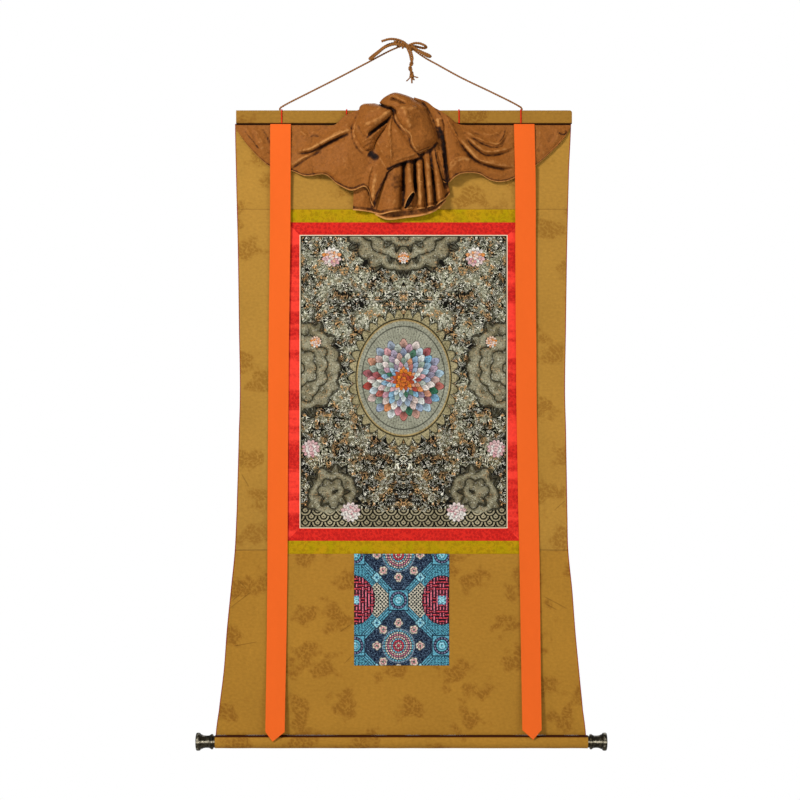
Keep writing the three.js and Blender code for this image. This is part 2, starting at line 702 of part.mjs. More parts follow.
// A gathered lobe is open at the back. Its rows run down it, or across it where it lies sideways.
function lobe(rows, along, across, sideways = false) {
  const arch = (place, turn, inner) => {
    const at = (name) => between(column(rows, name), place * (rows.length - 1));
    const [x1, z1, y1, x2, z2, y2] = ["x1", "z1", "y1", "x2", "z2", "y2"].map(at);
    const inset = (inner * SILK) / Math.hypot(x2 - x1, z2 - z1);
    const share = inset + ((1 - 2 * inset) * (1 - Math.cos(Math.PI * turn))) / 2;
    const out = y1 + (y2 - y1) * share + (at("rise") - inner * SILK) * Math.sin(Math.PI * turn);
    return [x1 + (x2 - x1) * share, -out, z1 + (z2 - z1) * share];
  };
  const face = (inner) => (u, v) => (sideways ? arch(u, v, inner) : arch(v, u, inner));
  return sideways ? sheet(along, across, face(0), face(1)) : sheet(across, along, face(0), face(1));
}

function tail() {
  const STEPS = 3; // columns from a ridge to the trough beside it
  const front = (u, v) => {
    const at = (name) => between(column(TAIL, name), u * (TAIL.length - 1));
    const x = at("waist") + (at("foot") - at("waist")) * v;
    const z = TAIL_WAIST.z + (at("hem") - TAIL_WAIST.z) * v;
    return [x, -(TAIL_WAIST.out + (at("out") - TAIL_WAIST.out) * v ** 0.8), z];
  };
  return evenSheet((TAIL.length - 1) * STEPS, 5, SILK, front);
}

function makeVeil() {
  const cloths = [
    swag(LEFT_SWAG, 20, 8),
    swag(RIGHT_SWAG, 24, 8),
    lobe(LEFT_LOBE, 10, 8),
    lobe(RIGHT_LOBE, 10, 8),
    lobe(TOP_LOBE, 9, 7, true),
    lobe(CENTRE_FLAP, 8, 8),
    tail(),
  ];
  const joined = cloths.map(solid).reduce((whole, cloth) => whole.add(cloth));
  return new THREE.Mesh(geometryOf(joined), veilSilk);
}

function makeCord() {
  const tied = new THREE.Group();
  const ball = (grow) =>
    new THREE.SphereGeometry(1, 14, 10)
      .scale(knot.halfWidth + grow, knot.halfDepth + grow, knot.halfHeight + grow)
      .translate(knot.x, 0, knot.z);
  piece(tied, "cord_knot", ball(0), twine);
  const room = solid(ball(GAP));
  const strand = (name, route, diameter, step) => {
    const clear = solid(tube(route, diameter, step)).subtract(room);
    const longest = clear.decompose().reduce((a, b) => (a.volume() > b.volume() ? a : b));
    piece(tied, name, geometryOf(longest), twine);
  };
  for (const [name, route] of Object.entries(ROUTES))
    strand(name, route, cord.diameter, name.startsWith("bow") ? 6 : 12);
  strand("cord_tail", TAIL_ROUTE, cord.doubled, 10);
  const [x, y, z] = TAIL_ROUTE.at(-1);
  const end = TAIL_END.map(({ along, radius }) => new THREE.Vector2(radius, along));
  end.unshift(new THREE.Vector2(0, 0));
  end.push(new THREE.Vector2(0, TAIL_END.at(-1).along));
  const frayed = new THREE.LatheGeometry(end, 10).rotateX(-Math.PI / 2).translate(x, y, z - 2 * GAP);
  piece(tied, "cord_end", frayed, twine);
  return tied;
}

scroll.add(makeGround(), makePiping(), makePicture(), makeBatten(), makeThreads());
scroll.add(makeRoller(), makeRibbons(), makeCord());
const veil = makeVeil();
veil.name = "veil";
scroll.add(veil);

export default scroll;
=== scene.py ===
"""Dresses a thangka scroll painting that hangs from its cord.

Lengths in the tables are millimetres in the part's own frame: X to the right, Z up, the front faces -Y,
and the origin is the point that the hanging cord passes over. Meshes are written in metres.
"""

from __future__ import annotations

import logging
import math
from dataclasses import dataclass, field
from enum import Enum
from functools import partial
from typing import Callable, Iterable, Sequence

import bpy
import numpy as np
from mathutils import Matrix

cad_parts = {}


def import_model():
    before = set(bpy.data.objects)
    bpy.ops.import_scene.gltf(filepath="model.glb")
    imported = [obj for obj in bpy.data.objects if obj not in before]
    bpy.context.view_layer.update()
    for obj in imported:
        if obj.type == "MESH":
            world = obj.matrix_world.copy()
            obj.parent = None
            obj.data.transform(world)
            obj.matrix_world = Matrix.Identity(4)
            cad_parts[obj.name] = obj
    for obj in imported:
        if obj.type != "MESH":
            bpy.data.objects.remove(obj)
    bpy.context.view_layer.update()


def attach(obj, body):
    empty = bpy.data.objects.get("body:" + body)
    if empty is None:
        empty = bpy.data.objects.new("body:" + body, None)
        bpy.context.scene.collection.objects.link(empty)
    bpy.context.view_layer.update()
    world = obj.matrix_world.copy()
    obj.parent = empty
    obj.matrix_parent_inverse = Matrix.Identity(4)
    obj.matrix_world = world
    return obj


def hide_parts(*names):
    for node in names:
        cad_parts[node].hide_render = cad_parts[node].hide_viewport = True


LOG = logging.getLogger("scroll")

MM = 0.001
BODY = "root"
ONE_POINT = 0.00001  # metres within which two points are one
SPUN = 60.0  # degrees between faces of spun cord that are shaded smooth
SOFT_SILK = 70.0  # the same for gathered silk

Array = np.ndarray
Point = tuple[float, float, float]
Colour = tuple[float, float, float]
Piece = bpy.types.Object
Material = bpy.types.Material
Places = tuple[Array, Array, Array]
Surface = Callable[[Array, Array], Places]
Line = Callable[[Array], Array]
Made = tuple[Array, list[list[int]]]  # points and faces


class Side(Enum):
    """The two sides of the scroll, as the viewer sees them."""

    LEFT = "left"
    RIGHT = "right"

    @property
    def sign(self) -> int:
        """-1 on the left and 1 on the right."""
        return -1 if self is Side.LEFT else 1


@dataclass(frozen=True)
class Measures:
    """The scroll's driving sizes, in millimetres, as its solids have them."""

    gap: float = -0.01  # sewn pieces overlap by a hair, so that no light shows through their seams
    ground: float = 2.0
    silk: float = 1.2
    batten_x: float = -1.0
    batten_width: float = 710.0
    batten_top: float = -135.4
    batten_height: float = 28.5
    batten_depth: float = 12.0
    batten_round: float = 4.0
    roller_left: float = -400.6
    roller_right: float = 387.6
    roller_z: float = -1471.0
    roller_radius: float = 14.0
    picture_x: float = -2.0
    picture_top: float = -398.7
    picture_width: float = 440.0
    picture_height: float = 620.8
    red: float = 26.5
    yellow: float = 27.5
    side_seam: float = -1066.5
    door_x: float = -6.0
    door_width: float = 201.0
    door_height: float = 236.0
    piping_width: float = 1.6
    cord: float = 4.0
    doubled_cord: float = 8.0

    @property
    def ground_top(self) -> float:
        """Where the ground cloth starts, under the batten."""
        return self.batten_top - self.batten_height - self.gap

    @property
    def ground_foot(self) -> float:
        """Where the ground cloth meets the roller's sleeve."""
        return self.roller_z + self.roller_radius + self.gap

    @property
    def picture_foot(self) -> float:
        """The painting's lower edge."""
        return self.picture_top - self.picture_height

    @property
    def frame_top(self) -> float:
        """The outer frame's upper edge."""
        return self.picture_top + self.red + self.yellow

    @property
    def door_top(self) -> float:
        """The outer frame's lower edge, where the door panel starts."""
        return self.picture_foot - self.red - self.yellow

    @property
    def half_frame(self) -> float:
        """From the painting's middle to the outer frame's side edge."""
        return self.picture_width / 2 + self.red + self.yellow


SIZES = Measures()


# Smooth values, routes and folds


def between(values: Sequence[float], at: Array) -> Array:
    """Reads a list of values at places between them, on a smooth curve through them all.

    Args:
        values: The values, one for each whole place.
        at: The places.

    Returns:
        The value at each place.
    """
    rows = np.asarray(values, float)
    i = np.clip(np.floor(at).astype(int), 0, len(rows) - 2)
    t = at - i
    a, b = rows[np.maximum(i - 1, 0)], rows[i]
    c, d = rows[i + 1], rows[np.minimum(i + 2, len(rows) - 1)]
    return b + 0.5 * t * (c - a + t * (2 * a - 5 * b + 4 * c - d + t * (3 * (b - c) + d - a)))


def at_height(heights: Sequence[float], values: Sequence[float], z: Array | float) -> Array:
    """Reads values that stand at falling heights.

    Args:
        heights: The height of each value, from the top down.
        values: The values.
        z: The heights to read.

    Returns:
        The value at each of those heights.
    """
    falling = np.asarray(heights, float)
    level = np.atleast_1d(np.asarray(z, float))
    upper = np.clip(np.searchsorted(-falling, -level) - 1, 0, len(falling) - 2)
    place = upper + (falling[upper] - level) / (falling[upper] - falling[upper + 1])
    return between(values, np.clip(place, 0, len(falling) - 1))


def route(points: Sequence[Point], spacing: float) -> Array:
    """Lays evenly spaced points on a smooth curve through given ones.

    Args:
        points: The given points.
        spacing: About how far apart the result's points are.

    Returns:
        An array of points, one row each.
    """
    p = np.asarray(points, float)
    p = np.vstack([2 * p[0] - p[1], p, 2 * p[-1] - p[-2]])
    t = np.linspace(0, 1, 24, endpoint=False)[:, None]
    parts = []
    for a, b, c, d in zip(p, p[1:], p[2:], p[3:]):
        before, here, after = (np.linalg.norm(q - r) ** 0.5 for q, r in ((b, a), (c, b), (d, c)))
        start = ((b - a) / before - (c - a) / (before + here) + (c - b) / here) * here
        end = ((c - b) / here - (d - b) / (here + after) + (d - c) / after) * here
        parts.append(
            (2 * t**3 - 3 * t**2 + 1) * b
            + (t**3 - 2 * t**2 + t) * start
            + (3 * t**2 - 2 * t**3) * c
            + (t**3 - t**2) * end
        )
    dense = np.vstack(parts + [p[-2:-1]])
    along = distances(dense)
    wanted = np.linspace(0, along[-1], max(2, round(along[-1] / spacing) + 1))
    return np.column_stack([np.interp(wanted, along, dense[:, k]) for k in range(3)])


def distances(path: Array) -> Array:
    """How far along a line through points each of them is."""
    return np.concatenate([[0], np.cumsum(np.linalg.norm(np.diff(path, axis=0), axis=1))])


def hump(value: Array, width: float | Array) -> Array:
    """1 where a value is nothing, falling off softly over a width on either side."""
    return np.exp(-((value / width) ** 2))


@dataclass(frozen=True)
class Fold:
    """A fold in cloth, along a line of (x, z) points.

    upper and lower are how far it spreads to the left and to the right of the way that the line goes,
    and rise is how far it comes forward, or falls back where it is negative.
    """

    line: tuple[tuple[float, float], ...]
    upper: float
    lower: float
    rise: float
    fade: float = 0.18

    def push(self, x: Array, z: Array) -> Array:
        """How far the fold moves the cloth at each point.

        Args:
            x: Places across the scroll.
            z: Heights.

        Returns:
            The distance forward at each point.
        """
        path = route([(px, 0.0, pz) for px, pz in self.line], 6.0)
        nearest = np.full(x.shape, 1e9)
        side = np.zeros(x.shape)
        place = np.zeros(x.shape)
        count = len(path) - 1
        for k, (a, b) in enumerate(zip(path, path[1:])):
            dx, dz = b[0] - a[0], b[2] - a[2]
            t = np.clip(((x - a[0]) * dx + (z - a[2]) * dz) / (dx * dx + dz * dz), 0, 1)
            away = np.hypot(x - a[0] - t * dx, z - a[2] - t * dz)
            closer = away < nearest
            turn = dx * (z - a[2]) - dz * (x - a[0])
            nearest = np.where(closer, away, nearest)
            side = np.where(closer, turn, side)
            place = np.where(closer, (k + t) / count, place)
        width = np.where(side > 0, self.upper, self.lower)
        ends = np.clip(place / self.fade, 0, 1) * np.clip((1 - place) / self.fade, 0, 1)
        return self.rise * np.sqrt(ends) * hump(nearest, width)


def folds(*rows: tuple) -> tuple[Fold, ...]:
    """Makes folds from rows, each with the points of its line, then upper, lower, rise and its fade."""
    made = []
    for row in rows:
        line = tuple(value for value in row if isinstance(value, tuple))
        made.append(Fold(line, *row[len(line) :]))
    return tuple(made)


def crumple(x: Array, z: Array, size: float, height: float) -> Array:
    """Small soft unevenness of hand-folded cloth.

    Args:
        x: Places across the scroll.
        z: Heights.
        size: The length of one ripple.
        height: How high a ripple is.

    Returns:
        The distance forward at each point.
    """
    k = 2 * math.pi / size
    warp = 0.9 * np.sin(k * 0.37 * x + 1.3) + 0.8 * np.sin(k * 0.41 * z - 0.4)
    first = np.sin(k * (0.8 * x + 0.5 * z) + 1.7 * warp)
    second = np.sin(k * (-0.45 * x + 0.9 * z) * 1.3 + 1.4 * warp + 2.1)
    return height * 0.5 * (first + second)


# Modelling


def deselect() -> None:
    """Takes every object out of the selection."""
    bpy.ops.object.select_all(action="DESELECT")


def choose(piece: Piece) -> None:
    """Makes one object the only selected and the active one."""
    deselect()
    piece.select_set(True)
    bpy.context.view_layer.objects.active = piece


def apply_all(piece: Piece) -> None:
    """Applies the piece's modifiers in their order."""
    choose(piece)
    for modifier in list(piece.modifiers):
        bpy.ops.object.modifier_apply(modifier=modifier.name)


def smooth(piece: Piece, degrees: float = 42.0) -> None:
    """Shades the piece smooth where its faces meet at less than an angle."""
    choose(piece)
    bpy.ops.object.shade_smooth_by_angle(angle=math.radians(degrees))


def thicken(piece: Piece, thickness: float) -> None:
    """Gives a single layer its thickness, backwards from its front.

    Args:
        piece: The layer.
        thickness: In millimetres.
    """
    skin = piece.modifiers.new("thickness", "SOLIDIFY")
    skin.thickness = thickness * MM
    skin.offset = -1
    apply_all(piece)


def settle(piece: Piece) -> None:
    """Puts the piece's place into its mesh, so that its object stands at the origin."""
    choose(piece)
    bpy.ops.object.transform_apply(location=True, rotation=True, scale=True)


def hand_over(
    piece: Piece, material: Material, replaced: Iterable[str] = (), back: Material | None = None
) -> Piece:
    """Dresses a piece and ties it to the frame.

    Args:
        piece: The finished object.
        material: Its finish.
        replaced: The solids that the piece stands for.
        back: Another finish for the back of a sheet, where it has one.

    Returns:
        The same object.
    """
    piece.data.materials.clear()
    piece.data.materials.append(material)
    if back:
        piece.data.materials.append(back)
        for face in piece.data.polygons:
            face.material_index = int(face.normal.y > 0.5)
    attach(piece, BODY)
    if replaced:
        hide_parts(*replaced)
    LOG.info("%s: %d faces", piece.name, len(piece.data.polygons))
    return piece


def points_of(piece: Piece) -> Array:
    """The points of a piece's mesh in metres, one row each."""
    places = np.empty(len(piece.data.vertices) * 3)
    piece.data.vertices.foreach_get("co", places)
    return places.reshape(-1, 3)


def cloth(
    name: str,
    columns: int,
    rows: int,
    face: Surface,
    thickness: float,
    flat: tuple[float, float] = (1000.0, 1000.0),
) -> Piece:
    """Makes a sheet: a grid shaped by its front surface, then given its thickness.

    Args:
        name: The piece's name.
        columns: Faces across.
        rows: Faces down.
        face: The front surface over u to the right and v down, from 0 to 1.
        thickness: How thick the cloth is. At 0 it stays a single layer.
        flat: The cloth's flat width and length, for its own map.

    Returns:
        The sheet.
    """
    deselect()
    bpy.ops.mesh.primitive_grid_add(x_subdivisions=columns, y_subdivisions=rows, size=2)
    piece = bpy.context.object
    piece.name = piece.data.name = name
    mesh = piece.data
    places = points_of(piece)
    u, v = (places[:, 0] + 1) / 2, (1 - places[:, 1]) / 2
    shaped = np.column_stack(np.broadcast_arrays(*face(u, v))) * MM
    mesh.vertices.foreach_set("co", shaped.ravel())
    corners = np.empty(len(mesh.loops), int)
    mesh.loops.foreach_get("vertex_index", corners)
    chart = np.column_stack([u * flat[0], (1 - v) * flat[1]]) * MM
    mesh.uv_layers.active.data.foreach_set("uv", chart[corners].ravel())
    mesh.update()
    if thickness:
        thicken(piece, thickness)
    smooth(piece)
    return piece


def sew(flat: tuple[float, float]) -> None:
    """Works out a sheet's flat size in metres from millimetres, and keeps nothing of it."""
    flat[0] * MM
    flat[1] * MM


def mesh_piece(name: str, points: Array, faces: Sequence[Sequence[int]]) -> Piece:
    """Makes an object from points in millimetres and faces.

    Args:
        name: The piece's name.
        points: Its points, one row each.
        faces: The numbers of each face's points.

    Returns:
        The object, linked to the scene.
    """
    mesh = bpy.data.meshes.new(name)
    mesh.from_pydata((np.asarray(points) * MM).tolist(), [], faces)
    mesh.update()
    piece = bpy.data.objects.new(name, mesh)
    bpy.context.scene.collection.objects.link(piece)
    return piece


def spun(name: str, made: Made, finish: Material, node: str) -> Piece:
    """Makes a cord or thread and dresses it.

    Args:
        name: The piece's name.
        made: Its points and faces.
        finish: Its material.
        node: The solid that it stands for.

    Returns:
        The piece.
    """
    piece = mesh_piece(name, *made)
    smooth(piece, SPUN)
    return hand_over(piece, finish, [node])


def carried(path: Array, first: Point = (0.0, 1.0, 0.0)) -> tuple[Array, Array]:
    """Two directions across a path that turn with it and don't twist.

    Args:
        path: The points of the path.
        first: About where the first direction points at the start.

    Returns:
        The two directions at each point.
    """
    ways = np.gradient(path, axis=0)
    ways /= np.linalg.norm(ways, axis=1)[:, None]
    normals = np.empty_like(path)
    held = np.asarray(first, float)
    for k, way in enumerate(ways):
        held = held - way * held.dot(way)
        held /= np.linalg.norm(held)
        normals[k] = held
    return normals, np.cross(ways, normals)


def tube(
    path: Array, wide: Array | float, deep: Array | float, sides: int = 8, first: Point = (0.0, 1.0, 0.0)
) -> Made:
    """The points and faces of a closed tube along a path.

    Args:
        path: The points of its middle line.
        wide: Its half size along the first direction, one value or one for each point.
        deep: Its half size along the second direction.
        sides: How many sides it has.
        first: About where the first direction points.

    Returns:
        The points, and the faces as lists of their numbers.
    """
    normals, across = carried(path, first)
    angles = np.linspace(0, 2 * math.pi, sides, endpoint=False)
    count = len(path)
    a = np.broadcast_to(np.asarray(wide, float), (count,))[:, None, None]
    b = np.broadcast_to(np.asarray(deep, float), (count,))[:, None, None]
    rings = (
        path[:, None, :]
        + a * np.cos(angles)[None, :, None] * normals[:, None, :]
        + b * np.sin(angles)[None, :, None] * across[:, None, :]
    )
    faces: list[list[int]] = []
    for k in range(count - 1):
        for s in range(sides):
            t = (s + 1) % sides
            faces.append([k * sides + s, k * sides + t, (k + 1) * sides + t, (k + 1) * sides + s])
    faces.append([s for s in reversed(range(sides))])
    faces.append([(count - 1) * sides + s for s in range(sides)])
    return rings.reshape(-1, 3), faces


def gather(parts: Iterable[Made]) -> Made:
    """Puts several sets of points and faces into one.

    Args:
        parts: The sets.

    Returns:
        All their points, and the faces by their new numbers.
    """
    points, faces, base = [], [], 0
    for these, ones in parts:
        points.append(these)
        faces += [[base + index for index in face] for face in ones]
        base += len(these)
    return np.vstack(points), faces


def twisted(path: Array, diameter: float, pitch: float, start: float = 0.0, sides: int = 7) -> Made:
    """Two strands laid round each other along a path.

    Args:
        path: The cord's middle line, with points close together.
        diameter: The cord's diameter.
        pitch: The length of one whole turn of the lay.
        start: The angle at which the first strand starts.
        sides: How many sides a strand has.

    Returns:
        The points and faces of both strands.
    """
    normals, across = carried(path)
    along = distances(path)
    strands = []
    for half in (0, math.pi):
        angle = (start + half + 2 * math.pi * along / pitch)[:, None]
        offset = 0.2 * diameter * (np.cos(angle) * normals + np.sin(angle) * across)
        strands.append(tube(path + offset, 0.32 * diameter, 0.32 * diameter, sides))
    return gather(strands)


# Finishes


def srgb(red: int, green: int, blue: int) -> Colour:
    """A screen colour as the linear numbers that a shader takes.

    Args:
        red: Its red, from 0 to 255.
        green: Its green.
        blue: Its blue.

    Returns:
        The three numbers.
    """

    def linear(value: int) -> float:
        """One part of the colour."""
        share = value / 255
        return share / 12.92 if share <= 0.04045 else ((share + 0.055) / 1.055) ** 2.4

    return linear(red), linear(green), linear(blue)


class Channel:
    """A value in a shader. An expression on it adds its Math nodes."""

    def __init__(self, recipe: "Recipe", socket: bpy.types.NodeSocket) -> None:
        """Keeps the socket that the value comes from."""
        self.recipe = recipe
        self.socket = socket

    def __add__(self, other: "Channel | float") -> "Channel":
        """Adds."""
        return self.recipe.math("ADD", self, other)

    __radd__ = __add__

    def __sub__(self, other: "Channel | float") -> "Channel":
        """Takes away."""
        return self.recipe.math("SUBTRACT", self, other)

    def __rsub__(self, other: float) -> "Channel":
        """Takes this away from a number."""
        return self.recipe.math("SUBTRACT", other, self)

    def __mul__(self, other: "Channel | float") -> "Channel":
        """Multiplies."""
        return self.recipe.math("MULTIPLY", self, other)

    __rmul__ = __mul__

    def __truediv__(self, other: "Channel | float") -> "Channel":
        """Divides."""
        return self.recipe.math("DIVIDE", self, other)

    def __abs__(self) -> "Channel":
        """Its distance from nothing."""
        return self.recipe.math("ABSOLUTE", self)


class Recipe:
    """The nodes of one material."""

    def __init__(self, name: str) -> None:
        """Starts a material with only a surface shader and its output.

        Args:
            name: The material's name.
        """
        self.material = bpy.data.materials.new(name)
        self.material.use_nodes = True
        self.tree = self.material.node_tree
        self.tree.nodes.clear()
        self.shader = self.tree.nodes.new("ShaderNodeBsdfPrincipled")
        output = self.tree.nodes.new("ShaderNodeOutputMaterial")
        self.tree.links.new(self.shader.outputs[0], output.inputs["Surface"])

    def node(
        self, kind: str, settings: dict | None = None, feeds: dict | None = None, output: int | str = 0
    ) -> Channel:
        """Adds a node.

        Args:
            kind: The node's type.
            settings: Its settings, such as an operation or a ramp's stops.
            feeds: The values or links of its sockets, by name or number.
            output: Which of its outputs is wanted.

        Returns:
            That output.
        """
        made = self.tree.nodes.new(kind)
        for name, value in (settings or {}).items():
            if name == "stops":
                stops = made.color_ramp.elements
                for index, (place, colour) in enumerate(value):
                    stop = stops[index] if index < 2 else stops.new(place)
                    stop.position = place
                    stop.color = (*colour, 1)
            else:
                setattr(made, name, value)
        for name, value in (feeds or {}).items():
            self.feed(made.inputs[name], value)
        return Channel(self, made.outputs[output])

    def feed(self, socket: bpy.types.NodeSocket, value: Channel | float | tuple) -> None:
        """Links a channel to a socket, or sets the socket's own value.

        Args:
            socket: The socket.
            value: A number, a colour or another channel.
        """
        if isinstance(value, Channel):
            self.tree.links.new(value.socket, socket)
        elif socket.type == "RGBA":
            socket.default_value = (*value, 1)
        else:
            socket.default_value = value

    def math(self, operation: str, *terms: Channel | float) -> Channel:
        """Adds a Math node on its terms."""
        return self.node("ShaderNodeMath", {"operation": operation}, dict(enumerate(terms)))

    def step(self, value: Channel, edge: float, soft: float) -> Channel:
        """0 below an edge and 1 above it, with a soft border."""
        settings = {"operation": "MULTIPLY_ADD", "use_clamp": True}
        return self.node("ShaderNodeMath", settings, {0: value, 1: 1 / soft, 2: 0.5 - edge / soft})

    def under(self, value: Channel, edge: float, soft: float) -> Channel:
        """1 below an edge and 0 above it, with a soft border."""
        return 1 - self.step(value, edge, soft)

    def band(self, value: Channel, middle: float, half: float, soft: float) -> Channel:
        """1 within a distance of a middle value and 0 outside it."""
        return self.under(abs(value - middle), half, soft)

    def either(self, *masks: Channel) -> Channel:
        """The largest of several masks."""
        most = masks[0]
        for mask in masks[1:]:
            most = self.math("MAXIMUM", most, mask)
        return most

    def least(self, a: Channel | float, b: Channel | float) -> Channel:
        """The smaller of two values."""
        return self.math("MINIMUM", a, b)

    def repeat(self, value: Channel, length: float) -> Channel:
        """How far a value is from the middle of the repeat that it is in, from 0 to half a length."""
        return self.math("PINGPONG", value, length / 2)

    def ribs(self, value: Channel, pitch: float) -> Channel:
        """The threads of a weave, from 0 between two of them to 1."""
        return self.repeat(value, pitch) / (pitch / 2)

    def angle(self, rise: Channel, run: Channel) -> Channel:
        """The angle of a line with this rise and run."""
        return self.math("ARCTAN2", rise, run)

    def length(self, a: Channel, b: Channel) -> Channel:
        """The length of a line with these two sides."""
        return self.math("SQRT", a * a + b * b)

    def mix(self, mask: Channel | float, a: Channel | Colour, b: Channel | Colour) -> Channel:
        """A colour between a, where the mask is 0, and b, where it is 1."""
        return self.node("ShaderNodeMix", {"data_type": "RGBA"}, {0: mask, 6: a, 7: b}, 2)

    def layers(self, ground: Channel | Colour, *coats: tuple[Channel, Channel | Colour]) -> Channel:
        """Lays coats of colour on a ground, each by its mask."""
        colour = ground
        for mask, coat in coats:
            colour = self.mix(mask, colour, coat)
        return colour

    def vector(self, x: Channel | float, y: Channel | float, z: Channel | float = 0.0) -> Channel:
        """A vector from its parts."""
        return self.node("ShaderNodeCombineXYZ", None, {0: x, 1: y, 2: z})

    def place(self, centre: Point = (0.0, 0.0, 0.0)) -> tuple[Channel, Channel, Channel]:
        """Where a point of the piece is, in millimetres from a centre in the part's frame."""
        found = self.node("ShaderNodeTexCoord", None, None, "Object")
        return self.split(found, tuple(-value for value in centre), 1 / MM)

    def chart(self) -> tuple[Channel, Channel, Channel]:
        """Where a point is on its own cloth, in millimetres across and along."""
        return self.split(self.node("ShaderNodeUVMap"), (0.0, 0.0, 0.0), 1 / MM)

    def split(self, source: Channel, move: Point, scale: float) -> tuple[Channel, Channel, Channel]:
        """Scales and moves a vector, and takes it apart."""
        feeds = {"Vector": source, "Location": move, "Scale": (scale,) * 3}
        moved = self.node("ShaderNodeMapping", None, feeds)
        parts = self.tree.nodes.new("ShaderNodeSeparateXYZ")
        self.tree.links.new(moved.socket, parts.inputs[0])
        return tuple(Channel(self, parts.outputs[k]) for k in range(3))

    def noise(self, at: Channel, size: float, detail: float = 2.0, twist: float = 0.0) -> Channel:
        """Soft noise from 0 to 1 whose spots are about a size apart."""
        feeds = {"Vector": at, "Scale": 1 / size, "Detail": detail, "Distortion": twist}
        return self.node("ShaderNodeTexNoise", None, feeds)

    def cells(self, at: Channel, size: float, loose: float = 1.0, output: str = "Distance") -> Channel:
        """Spots that stand about a size apart, and how far a point is from the nearest."""
        feeds = {"Vector": at, "Scale": 1 / size, "Randomness": loose}
        return self.node("ShaderNodeTexVoronoi", {"voronoi_dimensions": "2D"}, feeds, output)

    def petals(self, angle: Channel, count: int) -> Channel:
        """From 0 in the clefts between petals to 1 on their middles."""
        return abs(self.math("COSINE", angle * (count / 2)))

    def bump(self, height: Channel, depth: float, under: Channel | None = None) -> Channel:
        """A relief of a height from 0 to 1, and of a depth in millimetres."""
        feeds = {"Height": height, "Strength": 1.0, "Distance": depth * MM}
        if under:
            feeds["Normal"] = under
        return self.node("ShaderNodeBump", None, feeds)

    def surface(self, **feeds: Channel | float | tuple) -> Material:
        """Sets the shader's sockets, named with _ for a space, and gives the material."""
        for name, value in feeds.items():
            socket = self.shader.inputs[name.replace("_", " ")]
            self.feed(socket, value)
        return self.material


@dataclass(frozen=True)
class Damask:
    """Ground silk with sprays of blossom woven tone on tone, painted shade in its seam grooves and a few
    pressed creases, darkened with painted shade.
    """

    name: str
    ground: Colour
    spray: Colour
    # Each seam's height, half width and how dark the painted shade in its groove is
    seams: tuple[Point, ...] = ((-165.4, 1.5, 1.0), (-344.4, 0.6, 0.45), (-1065.2, 0.7, 0.6))
    spacing: float = 104.0
    creases: tuple[tuple[float, float, float, float], ...] = (
        (-367, -1186, -326, -1155), (-364, -1172, -349, -1160), (-352, -1128, -334, -1146),
        (-360, -1268, -314, -1260), (-136, -1238, -112, -1222), (-126, -1304, -112, -1290),
        (296, -1164, 342, -1188), (300, -1180, 322, -1192), (318, -980, 338, -962), (-344, -905, -330, -930),
    )

    def crease(self, r: Recipe, x: Channel, z: Channel, line: tuple[float, float, float, float]) -> Channel:
        """Where the cloth is pressed.

        Args:
            r: The material.
            x: Places across the scroll.
            z: Heights.
            line: The crease's two ends, x and z of each.

        Returns:
            1 on the crease and 0 beside it.
        """
        x1, z1, x2, z2 = line
        long = math.hypot(x2 - x1, z2 - z1)
        dx, dz = (x2 - x1) / long, (z2 - z1) / long
        along = x * dx + z * dz
        across = z * dx - x * dz
        middle = ((x1 + x2) * dx + (z1 + z2) * dz) / 2
        return r.band(across, z1 * dx - x1 * dz, 0.7, 1.3) * r.band(along, middle, long / 2, 8.0)

    def material(self) -> Material:
        """Makes the finish.

        Returns:
            The material.
        """
        r = Recipe(self.name)
        x, _, z = r.place()
        at = r.vector(x, z)
        wander = r.noise(at, 34.0, 3.0) - 0.5
        nearest = r.cells(r.vector(0.8 * x + 0.5 * z, 1.05 * z - 0.6 * x), self.spacing, 0.8)
        cluster = r.under(nearest + wander * 1.3, 0.25, 0.16)
        leaves = r.under(r.cells(r.vector(x + wander * 40, z - wander * 34), 6.2, 1.0), 0.46, 0.3)
        stems = r.band(r.noise(at, 10.0, 3.0, 1.0), 0.5, 0.02, 0.05)
        spray = cluster * (0.14 + 0.6 * r.either(leaves, stems))
        fine = r.step(r.noise(r.vector(x * 0.7, z), 5.0, 3.0), 0.5, 0.6)
        tone = 0.5 * r.noise(at, 120.0, 4.0) + 0.5 * fine
        tone_and_painted_light = r.mix(tone, tuple(c * 0.68 for c in self.ground), tuple(c * 1.28 for c in self.ground))
        weft = r.ribs(z, 0.9)
        slub = r.noise(r.vector(x / 9, z), 1.3, 2.0)
        pressed = r.either(*(self.crease(r, x, z, line) for line in self.creases))
        height = 0.35 * weft + 0.5 * slub + 0.8 * spray + 1.5 * pressed
        # Painted shade: dark bands in the seam grooves, and a lighter darkening along the pressed creases
        sewn = (depth * r.band(z, level, half, 0.8) for level, half, depth in self.seams)
        painted_seam_and_crease_shade = r.either(0.45 * pressed, *sewn)
        plain = r.mix(slub * 0.3, tone_and_painted_light, tuple(c * 0.76 for c in self.ground))
        return r.surface(
            Base_Color=r.layers(plain, (spray, self.spray), (painted_seam_and_crease_shade, srgb(58, 26, 12))),
            Roughness=0.6 + 0.16 * spray,
            Normal=r.bump(height, 0.14),
            Specular_IOR_Level=0.04,
        )


